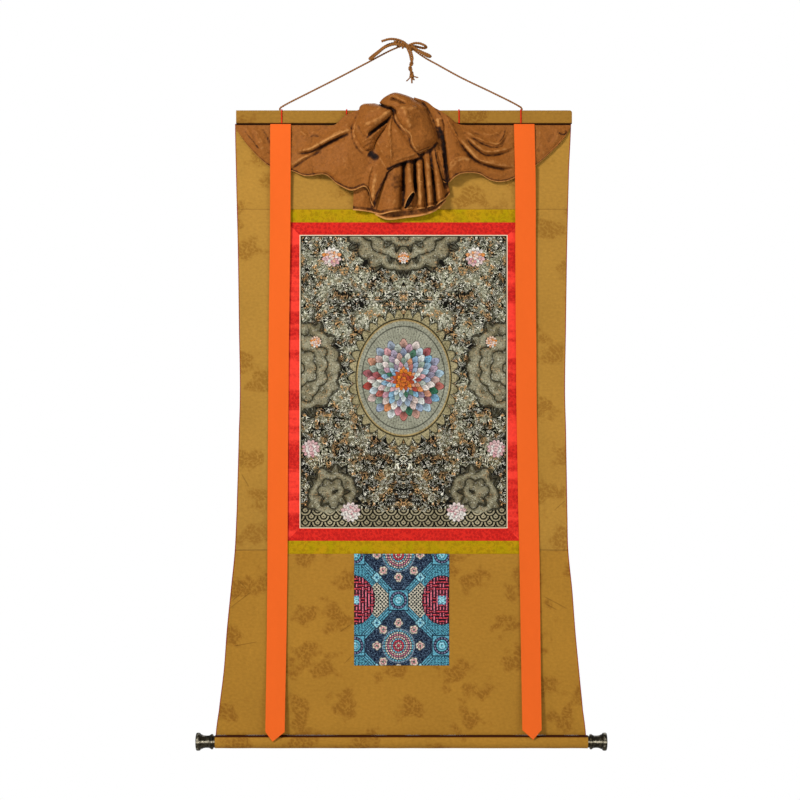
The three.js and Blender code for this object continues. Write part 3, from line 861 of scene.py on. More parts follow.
@dataclass(frozen=True)
class YellowBrocade:
    """The outer frame's yellow-olive silk with a small scroll."""

    def material(self) -> Material:
        """Makes the finish.

        Returns:
            The material.
        """
        r = Recipe("yellow brocade")
        x, _, z = r.place()
        at = r.vector(x, z)
        scroll = r.band(r.noise(at, 13.0, 1.0, 1.4), 0.5, 0.03, 0.03)
        buds = r.under(r.cells(at, 17.0, 0.6), 0.2, 0.1)
        motif = r.either(scroll, buds)
        weft = r.ribs(z, 0.9)
        ground = r.mix(r.step(r.noise(at, 34.0, 2.0), 0.5, 0.3), srgb(163, 140, 3), srgb(180, 138, 12))
        return r.surface(
            Base_Color=r.mix(motif * 0.6, ground, srgb(142, 108, 8)),
            Roughness=0.55 + 0.15 * motif,
            Normal=r.bump(weft + motif, 0.1),
            Specular_IOR_Level=0.04,
        )


@dataclass(frozen=True)
class RedBrocade:
    """The inner frame's red silk: plain level strips, and uprights with satin bands by turns."""

    upright: bool

    def material(self) -> Material:
        """Makes the finish.

        Returns:
            The material.
        """
        r = Recipe("red brocade upright" if self.upright else "red brocade level")
        x, _, z = r.place()
        at = r.vector(x, z)
        scroll = r.band(r.noise(at, 10.0, 2.0, 1.2), 0.5, 0.035, 0.035)
        buds = r.under(r.cells(at, 9.0, 0.8), 0.3, 0.12)
        motif = r.either(scroll, buds)
        ground = r.mix(r.noise(at, 30.0, 3.0), srgb(201, 31, 23), srgb(219, 46, 34))
        if self.upright:
            run = r.noise(r.vector(x * 0.05, z), 60.0, 2.0)
            satin = r.step(r.noise(r.vector(x * 0.16, z), 22.0, 3.0) + (run - 0.5) * 1.4, 0.5, 0.2)
            motif = motif * (1 - satin * 0.8)
            ground = r.mix(satin * (0.6 + 0.4 * r.noise(at, 12.0, 2.0)), srgb(208, 40, 30), srgb(246, 66, 50))
        weft = r.ribs(z, 0.8)
        return r.surface(
            Base_Color=r.mix(motif * 0.6, ground, srgb(160, 20, 22)),
            Roughness=0.5 + 0.2 * motif,
            Normal=r.bump(weft + 0.8 * motif, 0.1),
            Specular_IOR_Level=0.06,
        )


@dataclass(frozen=True)
class PaintedCanvas:
    """A picture of ornament alone: scrolls and clouds in gold and sage on near-black, mirrored about the
    middle, round a rosette on a pale oval, with smaller rosettes about it and waves at the foot."""

    half_width: float = SIZES.picture_width / 2
    half_height: float = SIZES.picture_height / 2
    margin: float = 1.8
    ink: Colour = srgb(18, 17, 13)
    oval: tuple[float, float] = (100.0, 124.0)
    small: tuple[tuple[float, float, float], ...] = (
        (152, 264, 22), (196, -142, 20), (186, 84, 13), (112, -276, 22), (0, 262, 13),
    )

    def rosette(
        self, r: Recipe, x: Channel, z: Channel, size: float, rings: int, palette: Sequence[Colour]
    ) -> tuple[Channel, Channel]:
        """One rosette in rings of shaded petals, each ring set half a petal round from the last.

        Args:
            r: The material.
            x: Places across, from the rosette's middle.
            z: Heights from its middle.
            size: Its radius.
            rings: How many rings of petals it has.
            palette: The colours that its petals are picked from.

        Returns:
            Its coat: where it is, and its colour.
        """
        away, angle = r.length(x, z) / size, r.angle(z, x)
        count = 9 + rings
        sets = []
        for shift in (0.0, 0.5):
            turned = angle + shift * 2 * math.pi / count
            edge = away / (0.74 + 0.26 * r.petals(turned, count))
            reach = (r.math("CEIL", edge * (rings / 2) - shift) + shift) * (2 / rings)
            sets.append((reach, edge, r.math("FLOOR", turned * (count / (2 * math.pi)) + 0.5)))
        first = r.step(sets[1][0] - sets[0][0], 0.0, 0.001)
        reach, edge, number = (b + first * (a - b) for a, b in zip(*sets))
        spot = {"Vector": r.vector(number, reach * 9.7 + size)}
        pick = r.node("ShaderNodeTexWhiteNoise", {"noise_dimensions": "2D"}, spot)
        stops = [(k / (len(palette) - 1), colour) for k, colour in enumerate(palette)]
        picked = r.node("ShaderNodeValToRGB", {"stops": stops}, {"Fac": pick})
        below = (reach - edge) * (rings / 2)
        lit = r.under(below, 0.55, 0.9) * r.step(below, 0.09, 0.07)
        return r.under(reach, 1.01, 0.01), r.mix(0.2 + 0.8 * lit, self.ink, picked)

    def material(self) -> Material:
        """Makes the finish.

        Returns:
            The material.
        """
        r = Recipe("painted canvas")
        centre = (SIZES.picture_x, 0.0, SIZES.picture_top - self.half_height)
        x, _, z = r.place(centre)
        ax = abs(x)
        at = r.vector(ax, z)
        patch = r.noise(at, 46.0, 3.0, 0.8)
        low = r.under(z, -120.0, 240.0)
        warm = r.step(r.noise(at, 19.0, 2.0), 0.55, 0.06)
        flow = r.repeat(r.noise(at, 20.0, 2.0, 1.6) * 9, 1.0)
        strokes = r.step(flow + (0.5 - patch) * 1.1, 0.27 - 0.12 * low, 0.08)
        lights = r.under(flow, 0.09, 0.07) * r.step(r.noise(at, 8.0, 1.0), 0.5, 0.08)
        leaves = r.under(r.cells(r.vector(ax + 16 * patch, z - 24 * patch), 7.0, 1.0), 0.34, 0.12)
        olive = r.mix(low, srgb(128, 126, 102), srgb(112, 100, 70))
        night = r.layers(
            r.mix(r.step(patch, 0.42, 0.3), srgb(62, 58, 42), olive),
            (leaves * 0.85, r.mix(warm, srgb(184, 184, 158), srgb(188, 144, 90))),
            (strokes, self.ink),
            (lights, r.mix(warm, srgb(250, 246, 228), srgb(232, 178, 120))),
        )

        # Banks of cloud in steps at the sides, above and in the lower corners, and waves in rows at the foot
        reach = r.least(r.length(ax - 226, (z - 30) * 0.9), r.length(ax * 0.8, z - 322))
        bank = r.least(reach, r.length(ax - 150, z + 236) + 38) + 24 * r.cells(at, 27.0, 0.6)
        steps = r.under(bank, 103.0, 2.0)
        ledge = r.repeat(bank, 25.0) / 12.5
        mist = r.mix(patch, srgb(122, 108, 72), srgb(176, 172, 146))
        night = r.layers(
            night,
            (steps * (0.9 - 0.35 * leaves), r.mix(ledge, srgb(76, 70, 50), mist)),
            (steps * r.band(ledge, 0.1, 0.06, 0.12), self.ink),
            (r.band(bank, 104.0, 1.3, 1.2), self.ink),
        )
        level = z + self.half_height
        row = r.math("FLOOR", level / 13)
        scale = r.length(r.repeat(ax + r.math("MODULO", row, 2.0) * 13, 26.0), level - row * 13 - 13)
        foam = r.step(r.repeat(scale, 6.5), 1.7, 1.0)
        sea = r.mix(foam, self.ink, r.mix(patch, srgb(96, 86, 58), srgb(196, 184, 150)))
        night = r.mix(r.under(level + 30 * patch, 54.0, 2.0), night, sea)

        # The grey oval with faint rays, and its garland
        wide, tall = self.oval
        away = r.length(x / wide, (z - 8) / tall)
        angle = r.angle((z - 8) / tall, x / wide)
        smoke = r.noise(r.vector(x, z), 30.0, 4.0)
        field_tone = r.mix(smoke, srgb(112, 112, 94), srgb(186, 186, 164))
        garland = away / (0.88 + 0.12 * r.petals(angle, 34))
        gilt = r.mix(r.either(lights, strokes), srgb(118, 110, 78), srgb(168, 156, 118))
        halo = r.layers(
            night,
            (r.under(garland, 1.19, 0.03), self.ink),
            (r.under(garland, 1.16, 0.03), gilt),
            (r.under(away, 1.02, 0.02), self.ink),
            (r.under(away, 0.995, 0.02), r.mix(smoke, srgb(120, 100, 58), srgb(200, 174, 116))),
            (r.under(away, 0.97, 0.02), r.mix(r.petals(angle, 88) * 0.25, field_tone, self.ink)),
            (r.band(away, 0.88, 0.01, 0.015) * 0.8, self.ink),
        )
        white, teal, blue = srgb(240, 238, 228), srgb(34, 104, 74), srgb(128, 178, 206)
        orange, rose, red = srgb(232, 138, 40), srgb(214, 146, 152), srgb(172, 66, 50)
        bright = (white, teal, white, rose, blue, red, white, blue, orange)
        coats = [
            self.rosette(r, x, z - 4, 88.0, 9, bright),
            self.rosette(r, x, z - 4, 24.0, 3, (orange, red, orange)),
        ]
        for k, (px, pz, size) in enumerate(self.small):
            palette = (rose, white) if k % 2 else (white, orange, white, rose)
            coats.append(self.rosette(r, ax - px, z - pz, size, 3, palette))
        picture = r.layers(halo, *coats)
        grain = r.noise(r.vector(x, z), 3.2, 3.0)
        picture = r.mix(0.55 * r.step(grain, 0.57, 0.1), picture, self.ink)
        edge = r.least(self.half_width - ax, self.half_height - abs(z))
        picture = r.layers(
            picture,
            (r.under(edge, self.margin + 2.2, 0.6), srgb(40, 36, 26)),
            (r.under(edge, self.margin, 0.6), srgb(222, 206, 176)),
        )
        weave = r.repeat(x, 1.0) + r.repeat(z, 1.0)
        relief = 0.5 * grain + 0.3 * weave
        proud = r.bump(relief, 0.1)
        return r.surface(Base_Color=picture, Roughness=0.78, Normal=proud, Specular_IOR_Level=0.04)


@dataclass(frozen=True)
class DoorBrocade:
    """The door panel's traditional lattice of octagons between ringed circles."""

    centre: Point = (-12.7, 0.0, -1171.3)
    pitch: tuple[float, float] = (92.0, 96.3)

    def material(self) -> Material:
        """Makes the finish.

        Returns:
            The material.
        """
        r = Recipe("door brocade")
        x, _, z = r.place(self.centre)
        p, q = x / self.pitch[0], z / self.pitch[1]
        a, b = (p + q) * 0.5, (p - q) * 0.5
        whole = r.math("FLOOR", a) + r.math("FLOOR", b)
        da, db = r.math("FRACT", a) - 0.5, r.math("FRACT", b) - 0.5
        dx, dz = abs(da + db), abs(da - db)
        kind = r.math("MODULO", abs(whole + 1), 2.0)
        most, least = r.either(dx, dz), r.least(dx, dz)
        away = r.length(dx, dz)
        angle = r.angle(da - db, da + db)
        turquoise, teal, light = srgb(104, 186, 202), srgb(40, 100, 132), srgb(150, 208, 220)
        navy, coral = srgb(18, 26, 46), srgb(210, 72, 82)
        cream, pink = srgb(214, 206, 184), srgb(208, 128, 138)

        # Round medallions of beads in a ring of blossoms, on navy with scrolls
        at = r.vector(dx * 92, dz * 92)
        scroll = r.step(r.repeat(r.noise(at, 7.0, 1.0, 1.0) * 6, 1.0), 0.36, 0.1)
        turn = r.math("PINGPONG", angle, math.pi / 8) * away
        bloom = r.length(turn, away - 0.5)
        lobes = bloom / (0.72 + 0.28 * r.petals(r.angle(away - 0.5, turn), 5))
        beads = [
            (r.step(r.petals(angle, count) * r.band(away, ring, 0.016, 0.02), 0.45, 0.2), colour)
            for ring, count, colour in (
                *((0.33, 36, turquoise), (0.285, 30, cream), (0.24, 26, pink), (0.195, 22, cream)),
                *((0.15, 16, turquoise), (0.105, 12, coral), (0.06, 8, cream)),
            )
        ]
        round_one = r.layers(
            navy,
            (scroll * 0.8, srgb(104, 132, 158)),
            (r.under(lobes, 0.115, 0.02), navy),
            (r.under(lobes, 0.1, 0.02), cream),
            (r.band(bloom, 0.05, 0.012, 0.015), pink),
            (r.under(bloom, 0.026, 0.02), srgb(92, 96, 88)),
            (r.under(away, 0.375, 0.02), srgb(140, 160, 176)),
            (r.under(away, 0.355, 0.02), r.mix(r.step(away, 0.22, 0.1), srgb(110, 48, 66), srgb(62, 60, 84))),
            *beads,
            (r.under(away, 0.03, 0.02), coral),
        )

        # Frets in coral about a small square, with lattice and scales beside them
        cell = r.vector(r.math("FLOOR", dx * 14), r.math("FLOOR", dz * 14))
        chance = r.node("ShaderNodeTexWhiteNoise", {"noise_dimensions": "2D"}, {"Vector": cell})
        coin = r.step(chance, 0.5, 0.01)
        maze = coin * r.repeat(dx * 14, 1.0) + (1 - coin) * r.repeat(dz * 14, 1.0)
        cross = r.either(*(r.step(r.repeat(way * 12, 1.0), 0.34, 0.12) for way in (p + q, p - q)))
        scales = r.step(r.repeat(r.length(r.repeat(x, 7.0), r.repeat(z, 5.6)), 2.2), 0.6, 0.3)
        reach = r.length(dx * 1.08, dz * 0.92)
        fretted = r.layers(
            r.mix(scales, srgb(28, 58, 92), turquoise),
            (r.step(dx - dz, 0.1, 0.03), r.mix(cross, srgb(24, 40, 36), cream)),
            (r.under(reach, 0.5, 0.02), srgb(26, 18, 28)),
            (r.under(reach, 0.485, 0.02) * r.step(maze, 0.29, 0.12), r.mix(coin, coral, srgb(228, 116, 132))),
            (r.under(most, 0.1, 0.02), teal),
            (r.under(r.least(abs(dx - 0.04), abs(dz - 0.04)) + most, 0.1, 0.03), light),
        )

        # Bands from circle to circle, a small square halfway, and the ringed circles in their squares
        rim = r.least(0.5 - abs(da), 0.5 - abs(db))
        half_way = r.either(r.least(abs(da), abs(db)), rim)
        near = r.length(1 - most, least)
        corner = r.either(1 - most, least)
        wheel = r.petals(r.angle(least, 1 - most), 16)
        blue = r.mix(r.noise(r.vector(x, z), 5.0, 2.0), srgb(60, 134, 166), srgb(128, 200, 216))
        colour = r.layers(
            r.mix(kind, round_one, fretted),
            (r.under(rim, 0.052, 0.012), navy),
            (r.under(rim, 0.042, 0.012), blue),
            (r.band(rim, 0.018, 0.006, 0.01), navy),
            (r.under(half_way, 0.068, 0.012), navy),
            (r.under(half_way, 0.055, 0.012), light),
            (r.under(half_way, 0.02, 0.012), teal),
            (r.under(corner, 0.235, 0.015), navy),
            (r.under(corner, 0.212, 0.015), blue),
            (r.under(near, 0.2, 0.02), navy),
            (r.step(r.band(near, 0.165, 0.02, 0.02) * wheel, 0.5, 0.2), srgb(120, 120, 150)),
            (r.under(near, 0.125, 0.02), turquoise),
            (r.under(near, 0.095, 0.02), teal),
            (r.under(near, 0.075, 0.02), light),
            (r.under(near, 0.035, 0.02), turquoise),
        )
        threads = 0.6 * r.repeat(z, 0.9) + 0.3 * r.repeat(x, 0.9)
        grain = r.noise(r.vector(x, z), 3.2, 2.0)
        return r.surface(
            Base_Color=r.mix(0.75 * r.step(grain, 0.53, 0.12), colour, srgb(16, 20, 34)),
            Roughness=0.6,
            Normal=r.bump(threads + 0.6 * grain, 0.14),
            Specular_IOR_Level=0.04,
        )


@dataclass(frozen=True)
class Taffeta:
    """Plain crisp weave on the cloth's own map, such as the ribbons'."""

    name: str
    colour: Colour
    thread: float = 0.9

    def material(self) -> Material:
        """Makes the finish.

        Returns:
            The material.
        """
        r = Recipe(self.name)
        u, v, _ = r.chart()
        rib, warp = r.ribs(v, self.thread), r.ribs(u, self.thread * 0.7)
        slub = r.noise(r.vector(u / 12, v), 1.2, 2.0)
        tone = r.noise(r.vector(u, v), 90.0, 2.0)
        shade = tuple(c * 0.9 for c in self.colour)
        return r.surface(
            Base_Color=r.mix(0.5 * tone + 0.35 * slub, self.colour, shade),
            Roughness=0.6 + 0.15 * slub,
            Normal=r.bump(0.7 * rib + 0.3 * warp + 0.5 * slub, 0.1),
            Specular_IOR_Level=0.04,
        )


@dataclass(frozen=True)
class VeilSilk:
    """Thin brown silk, with a painted highlight where it stands proud and painted shade where it is folded in.
    """

    colour: Colour = srgb(158, 95, 38)
    # The colours after the first: painted shade, the darkest painted shade, and a painted highlight
    deep: Colour = srgb(54, 25, 8)
    painted_darkest_shade: Colour = srgb(16, 9, 8)
    proud: Colour = srgb(222, 160, 92)

    def material(self) -> Material:
        """Makes the finish.

        Returns:
            The material.
        """
        r = Recipe("veil silk")
        x, y, z = r.place()
        at = r.vector(x, y, z)
        # The attribute is painted shade for hollows and creases, lower for painted highlights on rims and hems;
        # noise breaks it up
        painted_fold_shading = r.node("ShaderNodeAttribute", {"attribute_name": "painted_fold_shading"}, None, "Fac")
        crush = r.noise(at, 10.0, 4.0, 0.9)
        tone_and_painted_light = painted_fold_shading + 0.6 * (crush - 0.5)
        # Masks of painted shade, the darkest painted shade and the painted highlight
        deep = r.step(tone_and_painted_light, 0.76, 0.42)
        painted_darkest_shade = r.step(tone_and_painted_light, 1.25, 0.5)
        proud = r.under(tone_and_painted_light, 0.2, 0.36)
        threads = r.noise(r.vector(x, y * 0.4, z * 0.3), 1.6, 2.0)
        fine = r.step(r.noise(at, 5.0, 3.0, 0.6), 0.5, 0.5)
        base = r.mix(0.3 * threads + 0.7 * fine, self.colour, tuple(c * 0.6 for c in self.colour))
        painted_light_and_shade = (proud * 0.55, self.proud), (deep * 0.95, self.deep), (painted_darkest_shade * 0.9, self.painted_darkest_shade)
        return r.surface(
            Base_Color=r.layers(base, *painted_light_and_shade),
            Roughness=0.48 + 0.15 * crush,
            Normal=r.bump(threads + fine, 0.35, r.bump(crush, 2.0)),
            Specular_IOR_Level=0.08,
        )


@dataclass(frozen=True)
class SpunThread:
    """Spun fibre, such as the cord's, the stitches' and the piping's."""

    name: str
    colour: Colour
    shade: Colour
    fibre: float = 0.5

    def material(self) -> Material:
        """Makes the finish.

        Returns:
            The material.
        """
        r = Recipe(self.name)
        x, y, z = r.place()
        fibres = r.noise(r.vector(x, y, z * 0.35), self.fibre, 2.0)
        tone = r.noise(r.vector(x, y, z), 7.0, 2.0)
        return r.surface(
            Base_Color=r.mix(0.6 * fibres + 0.4 * tone, self.colour, self.shade),
            Roughness=0.8,
            Normal=r.bump(fibres, 0.25),
            Specular_IOR_Level=0.05,
        )


@dataclass(frozen=True)
class OldBronze:
    """Dark patina, rubbed bright on the knobs' proud bands, with a painted highlight in a band just above the
    axis.
    """

    def material(self) -> Material:
        """Makes the finish.

        Returns:
            The material.
        """
        r = Recipe("old bronze")
        x, y, z = r.place((0.0, 0.0, SIZES.roller_z))
        stains = r.noise(r.vector(x, y, z), 5.0, 4.0)
        radius = r.length(y, z)
        rubbed = r.step(radius + 4.0 * stains, 21.6, 1.2)
        spots = r.step(stains, 0.5, 0.1)
        # Painted highlight: a bright band just above the axis, all the way round; bright joins it with the real
        # rubbing on the proud bands
        tone_and_painted_light = r.band(z + 4.0 * stains, 3.6, 1.8, 1.8)
        bright = r.either(0.7 * rubbed, 0.85 * tone_and_painted_light)
        patina = r.mix(spots * 0.8, srgb(62, 56, 42), srgb(24, 22, 16))
        return r.surface(
            Base_Color=r.mix(bright, patina, srgb(212, 202, 176)),
            Roughness=0.3 + 0.25 * spots - 0.08 * rubbed,
            Metallic=0.92,
            Normal=r.bump(stains, 0.12),
        )


@dataclass(frozen=True)
class PlainWood:
    """Plain softwood with its grain along X."""

    def material(self) -> Material:
        """Makes the finish.

        Returns:
            The material.
        """
        r = Recipe("plain wood")
        x, y, z = r.place()
        grain = r.noise(r.vector(x / 40, y, z), 2.2, 3.0, 0.4)
        rings = r.step(r.repeat(grain * 6, 1.0), 0.3, 0.3)
        return r.surface(
            Base_Color=r.mix(rings, srgb(176, 132, 84), srgb(132, 90, 52)),
            Roughness=0.7,
            Normal=r.bump(grain, 0.15),
        )


@dataclass(frozen=True)
class PlainCotton:
    """Unbleached cotton, the back of the painted canvas."""

    def material(self) -> Material:
        """Makes the finish.

        Returns:
            The material.
        """
        r = Recipe("plain cotton")
        x, _, z = r.place()
        weave = r.repeat(x, 1.1) + r.repeat(z, 1.1)
        tone = r.noise(r.vector(x, z), 45.0, 3.0)
        return r.surface(
            Base_Color=r.mix(tone, srgb(196, 180, 148), srgb(218, 204, 176)),
            Roughness=0.85,
            Normal=r.bump(weave, 0.15),
        )


class Finishes:
    """One material of each finish, made once."""

    def __init__(self) -> None:
        """Makes them all."""
        self.damask = Damask("damask", srgb(170, 126, 52), srgb(136, 92, 32)).material()
        # Painted shade along the batten sleeve's lower edge, and in the groove between the bottom panel and the
        # roller
        high, low = ((-163.6, 0.9, 1.0),), ((-1458.6, 2.0, 1.0),)
        self.batten_damask = Damask("batten damask", srgb(154, 111, 43), srgb(122, 78, 26), high).material()
        self.bottom_damask = Damask("bottom damask", srgb(166, 119, 43), srgb(128, 82, 26), low).material()
        self.yellow = YellowBrocade().material()
        self.red_level = RedBrocade(False).material()
        self.red_upright = RedBrocade(True).material()
        self.canvas = PaintedCanvas().material()
        self.cotton = PlainCotton().material()
        self.door = DoorBrocade().material()
        self.ribbon = Taffeta("orange taffeta", srgb(232, 100, 35)).material()
        self.veil = VeilSilk().material()
        self.piping = SpunThread("maroon piping", srgb(168, 44, 34), srgb(110, 22, 20)).material()
        self.thread = SpunThread("red thread", srgb(240, 52, 32), srgb(190, 30, 20)).material()
        self.twine = SpunThread("brown twine", srgb(176, 116, 58), srgb(96, 60, 30)).material()
        self.bronze = OldBronze().material()
        self.wood = PlainWood().material()


# The hanging cord


@dataclass
class HangingCord:
    """The two-ply cord: two legs from the batten, tied over the hang point in a bow with free ends."""

    finishes: Finishes
    pitch: float = 10.0
    slack: float = 1.4  # how much thicker the untwisted cord is in the bow
    beside: float = 30.0  # how far down the tail its two cords lie side by side before they twist
    routes: dict[str, tuple[Point, ...]] = field(
        default_factory=lambda: {
            "cord_left": (
                (-263.4, 0, -135.1), (-263.4, 0, -131), (-255, 0, -125), (-200, 0, -96.8), (-140, 0, -66.4),
                (-80, 0, -35), (-30, 0, -8.6), (-3, 0, 2.6),
            ),
            "cord_right": (
                (248, 0, -135.1), (248, 0, -131), (240, 0, -125), (190, 0, -99.6), (120, 0, -66),
                (70, 0, -38.6), (42, 0, -23), (14, 0, -3),
            ),
            "bow_left_end": ((6, 1, 3), (-2, 1, 9.6), (-17, 1, 15), (-32, 0, 15.6), (-48, -1, 11)),
            "bow_left_loop": (
                (2, -3, 1), (-20, -7.6, 3.4), (-40, -9.6, -3), (-58, -9, -17), (-70, -5, -26),
                (-73.6, 1, -25.6), (-69, 8, -19.6), (-56, 11, -9), (-38, 11.6, 4), (-20, 9.4, 8.6), (2, 4, 1),
            ),
            "bow_right_loop": (
                (8, -2, 2), (22, -4, 6.4), (34, -6, 5.2), (43, -5, 1), (46, 0.6, -1.6), (42.6, 6, -2.4),
                (34, 8, -1), (22, 6, 1.4), (8, 3, 2),
            ),
            "bow_lower_loop": (
                (15, -3, 1), (24.6, -8.4, -6.6), (37, -11.6, -16), (49.4, -9.4, -22.6), (55, -1.6, -21.6),
                (52, 6.4, -17), (40, 11.4, -11), (26, 9.4, -5), (12, 4, -1),
            ),
        }
    )
    tail: tuple[Point, ...] = (
        (7, -4, 1), (9.6, -8.4, -8), (13.4, -8.8, -18), (15.4, -7.6, -34), (12, -6.4, -46), (14.9, -6, -55),
        (15.2, -6, -60.6),
    )
    wraps: tuple[tuple[float, float, float, float], ...] = (
        # middle x, lean, half depth, half height
        (-18.0, 0.7, 5.4, 3.6), (-12.5, 0.6, 5.8, 4.2), (-7.0, 0.8, 6.0, 4.6), (-1.5, 0.5, 6.2, 4.8),
        (4.0, -0.75, 6.4, 5.2), (9.0, 0.35, 6.2, 5.0), (14.0, -0.3, 5.2, 4.2),
    )
    tufts: tuple[tuple[float, float], ...] = ((-10.5, -12.0), (0.5, -16.5), (5.0, -10.0), (12.5, -5.0))

    def spin(self, name: str, made: Made, node: str) -> Piece:
        """Makes one stretch of the cord from its points and faces."""
        return spun(name, made, self.finishes.twine, node)

    def build(self) -> None:
        """Makes the cord's stretches, its knot and its frayed end."""
        knot = self.knot()
        for name, points in self.routes.items():
            path = route(points, 1.0)
            legs = name.startswith("cord")
            made = twisted(path, SIZES.cord * (1 if legs else self.slack), self.pitch)
            piece = self.spin(name + "_twine", made, name)
        self.tail_pieces()

    def knot(self) -> Piece:
        """Makes the knot: turns of the cord drawn tight across each other.

        Returns:
            The piece.
        """
        turns = []
        around = np.linspace(0, 2 * math.pi, 40)
        for x, lean, deep, high in self.wraps:
            rise = 1.4 - 0.38 * x
            middle = np.column_stack(
                [x + lean * high * np.sin(around), -deep * np.cos(around), rise + high * np.sin(around)]
            )
            turns.append(twisted(middle, SIZES.cord * 1.15, self.pitch * 0.8, x))
        bight = route([(-8, -1, 6), (-3, -8, 6.4), (5, -9.6, 1.6), (12, -8, -4), (18.5, -1, -4.6)], 1.0)
        turns.append(twisted(bight, SIZES.cord * 1.15, self.pitch * 0.8))
        core = route([(-23, 0, 9.6), (-12, 0, 6.2), (0, 0, 1.6), (10, 0, -2), (19, 0, -5.4)], 1.0)
        turns.append(tube(core, 4.2, 3.6, 10))
        return self.spin("knot_twine", gather(turns), "cord_knot")

    def tail_pieces(self) -> None:
        """Makes the doubled tail, its small knot and the frayed fibres under it."""
        path = route(self.tail, 0.8)
        normals, across = carried(path)
        along = distances(path)
        cords = []
        for half in (0, math.pi):
            angle = (half + math.pi / 2 + 2 * math.pi * np.maximum(along - self.beside, 0) / 22)[:, None]
            own = path + 0.27 * SIZES.doubled_cord * (np.cos(angle) * normals + np.sin(angle) * across)
            cords.append(twisted(own, SIZES.cord * 1.2, self.pitch * 0.8, half, 6))
        tail = self.spin("tail_twine", gather(cords), "cord_tail")

        foot_x, foot_y, foot_z = self.tail[-1]
        around = np.linspace(0, 2 * math.pi, 30)
        parts = []
        for drop, lean in ((1.8, 0.9), (4.2, -0.8)):
            level = foot_z - drop + lean * np.cos(around)
            ring = np.column_stack([foot_x + 3.6 * np.cos(around), foot_y + 3.4 * np.sin(around), level])
            parts.append(twisted(ring, 3.6, 9.0, drop, 6))
        golden = math.pi * (3 - math.sqrt(5))
        for k in range(60):
            reach = math.sqrt((k + 0.5) / 60)
            turn = golden * k
            out, down = self.tufts[k % len(self.tufts)]
            side, deep = reach * math.cos(turn), reach * math.sin(turn)
            fibre = [
                (foot_x + 2.6 * side, foot_y + 2.6 * deep, foot_z - 2.0),
                (foot_x + 0.4 * out + 2.2 * side, foot_y + 3.0 * deep, foot_z + 0.5 * down - 1.0),
                (foot_x + out + 2.0 * side, foot_y + 4.4 * deep, foot_z + down - 1.6 * abs(math.sin(1.7 * k))),
            ]
            parts.append(tube(route(fibre, 2.4), 0.5, 0.5, 5))
        end = self.spin("frayed_end", gather(parts), "cord_end")


# The batten and the roller


def dress_wood(name: str, wood: Material) -> None:
    """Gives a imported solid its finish.

    Args:
        name: The solid's name.
        wood: The finish.
    """
    materials = bpy.data.objects[name].data.materials
    materials.clear()
    materials.append(wood)


def rounded_loop(depth: float, height: float, corner: float) -> Array:
    """The (y, z) outline of a rod's section, down its front and round to its top.

    Args:
        depth: From front to back.
        height: From top to bottom.
        corner: The radius of its corners.

    Returns:
        The points, with the first one again at the end.
    """
    y, z = depth / 2 - corner, height / 2 - corner
    front = np.array([[-depth / 2, 0.0]])
    parts = [front]
    for cy, cz, start in ((-y, -z, 0.25), (y, -z, 0.5), (y, z, 0.75), (-y, z, 1.0)):
        turn = 2 * math.pi * (start + np.linspace(0, 0.25, 7))
        parts.append(np.column_stack([cy - corner * np.sin(turn), cz + corner * np.cos(turn)]))
    return np.vstack([*parts, front])


def round_section(ring: Array, v: Array) -> tuple[Array, Array]:
    """Points on a closed outline at shares of its length.

    Args:
        ring: The outline's (y, z) points.
        v: The shares.

    Returns:
        y and z at each share.
    """
    along = distances(ring)
    place = v * along[-1]
    return np.interp(place, along, ring[:, 0]), np.interp(place, along, ring[:, 1])


def close_round(piece: Piece, thickness: float) -> None:
    """Joins a wrapped sheet's edges along its length and gives it a thickness.

    Args:
        piece: The sheet, a single layer.
        thickness: In millimetres.
    """
    choose(piece)
    bpy.ops.object.mode_set(mode="EDIT")
    bpy.ops.mesh.select_all(action="SELECT")
    bpy.ops.mesh.remove_doubles(threshold=ONE_POINT)
    bpy.ops.object.mode_set(mode="OBJECT")
    thicken(piece, thickness)
    smooth(piece)


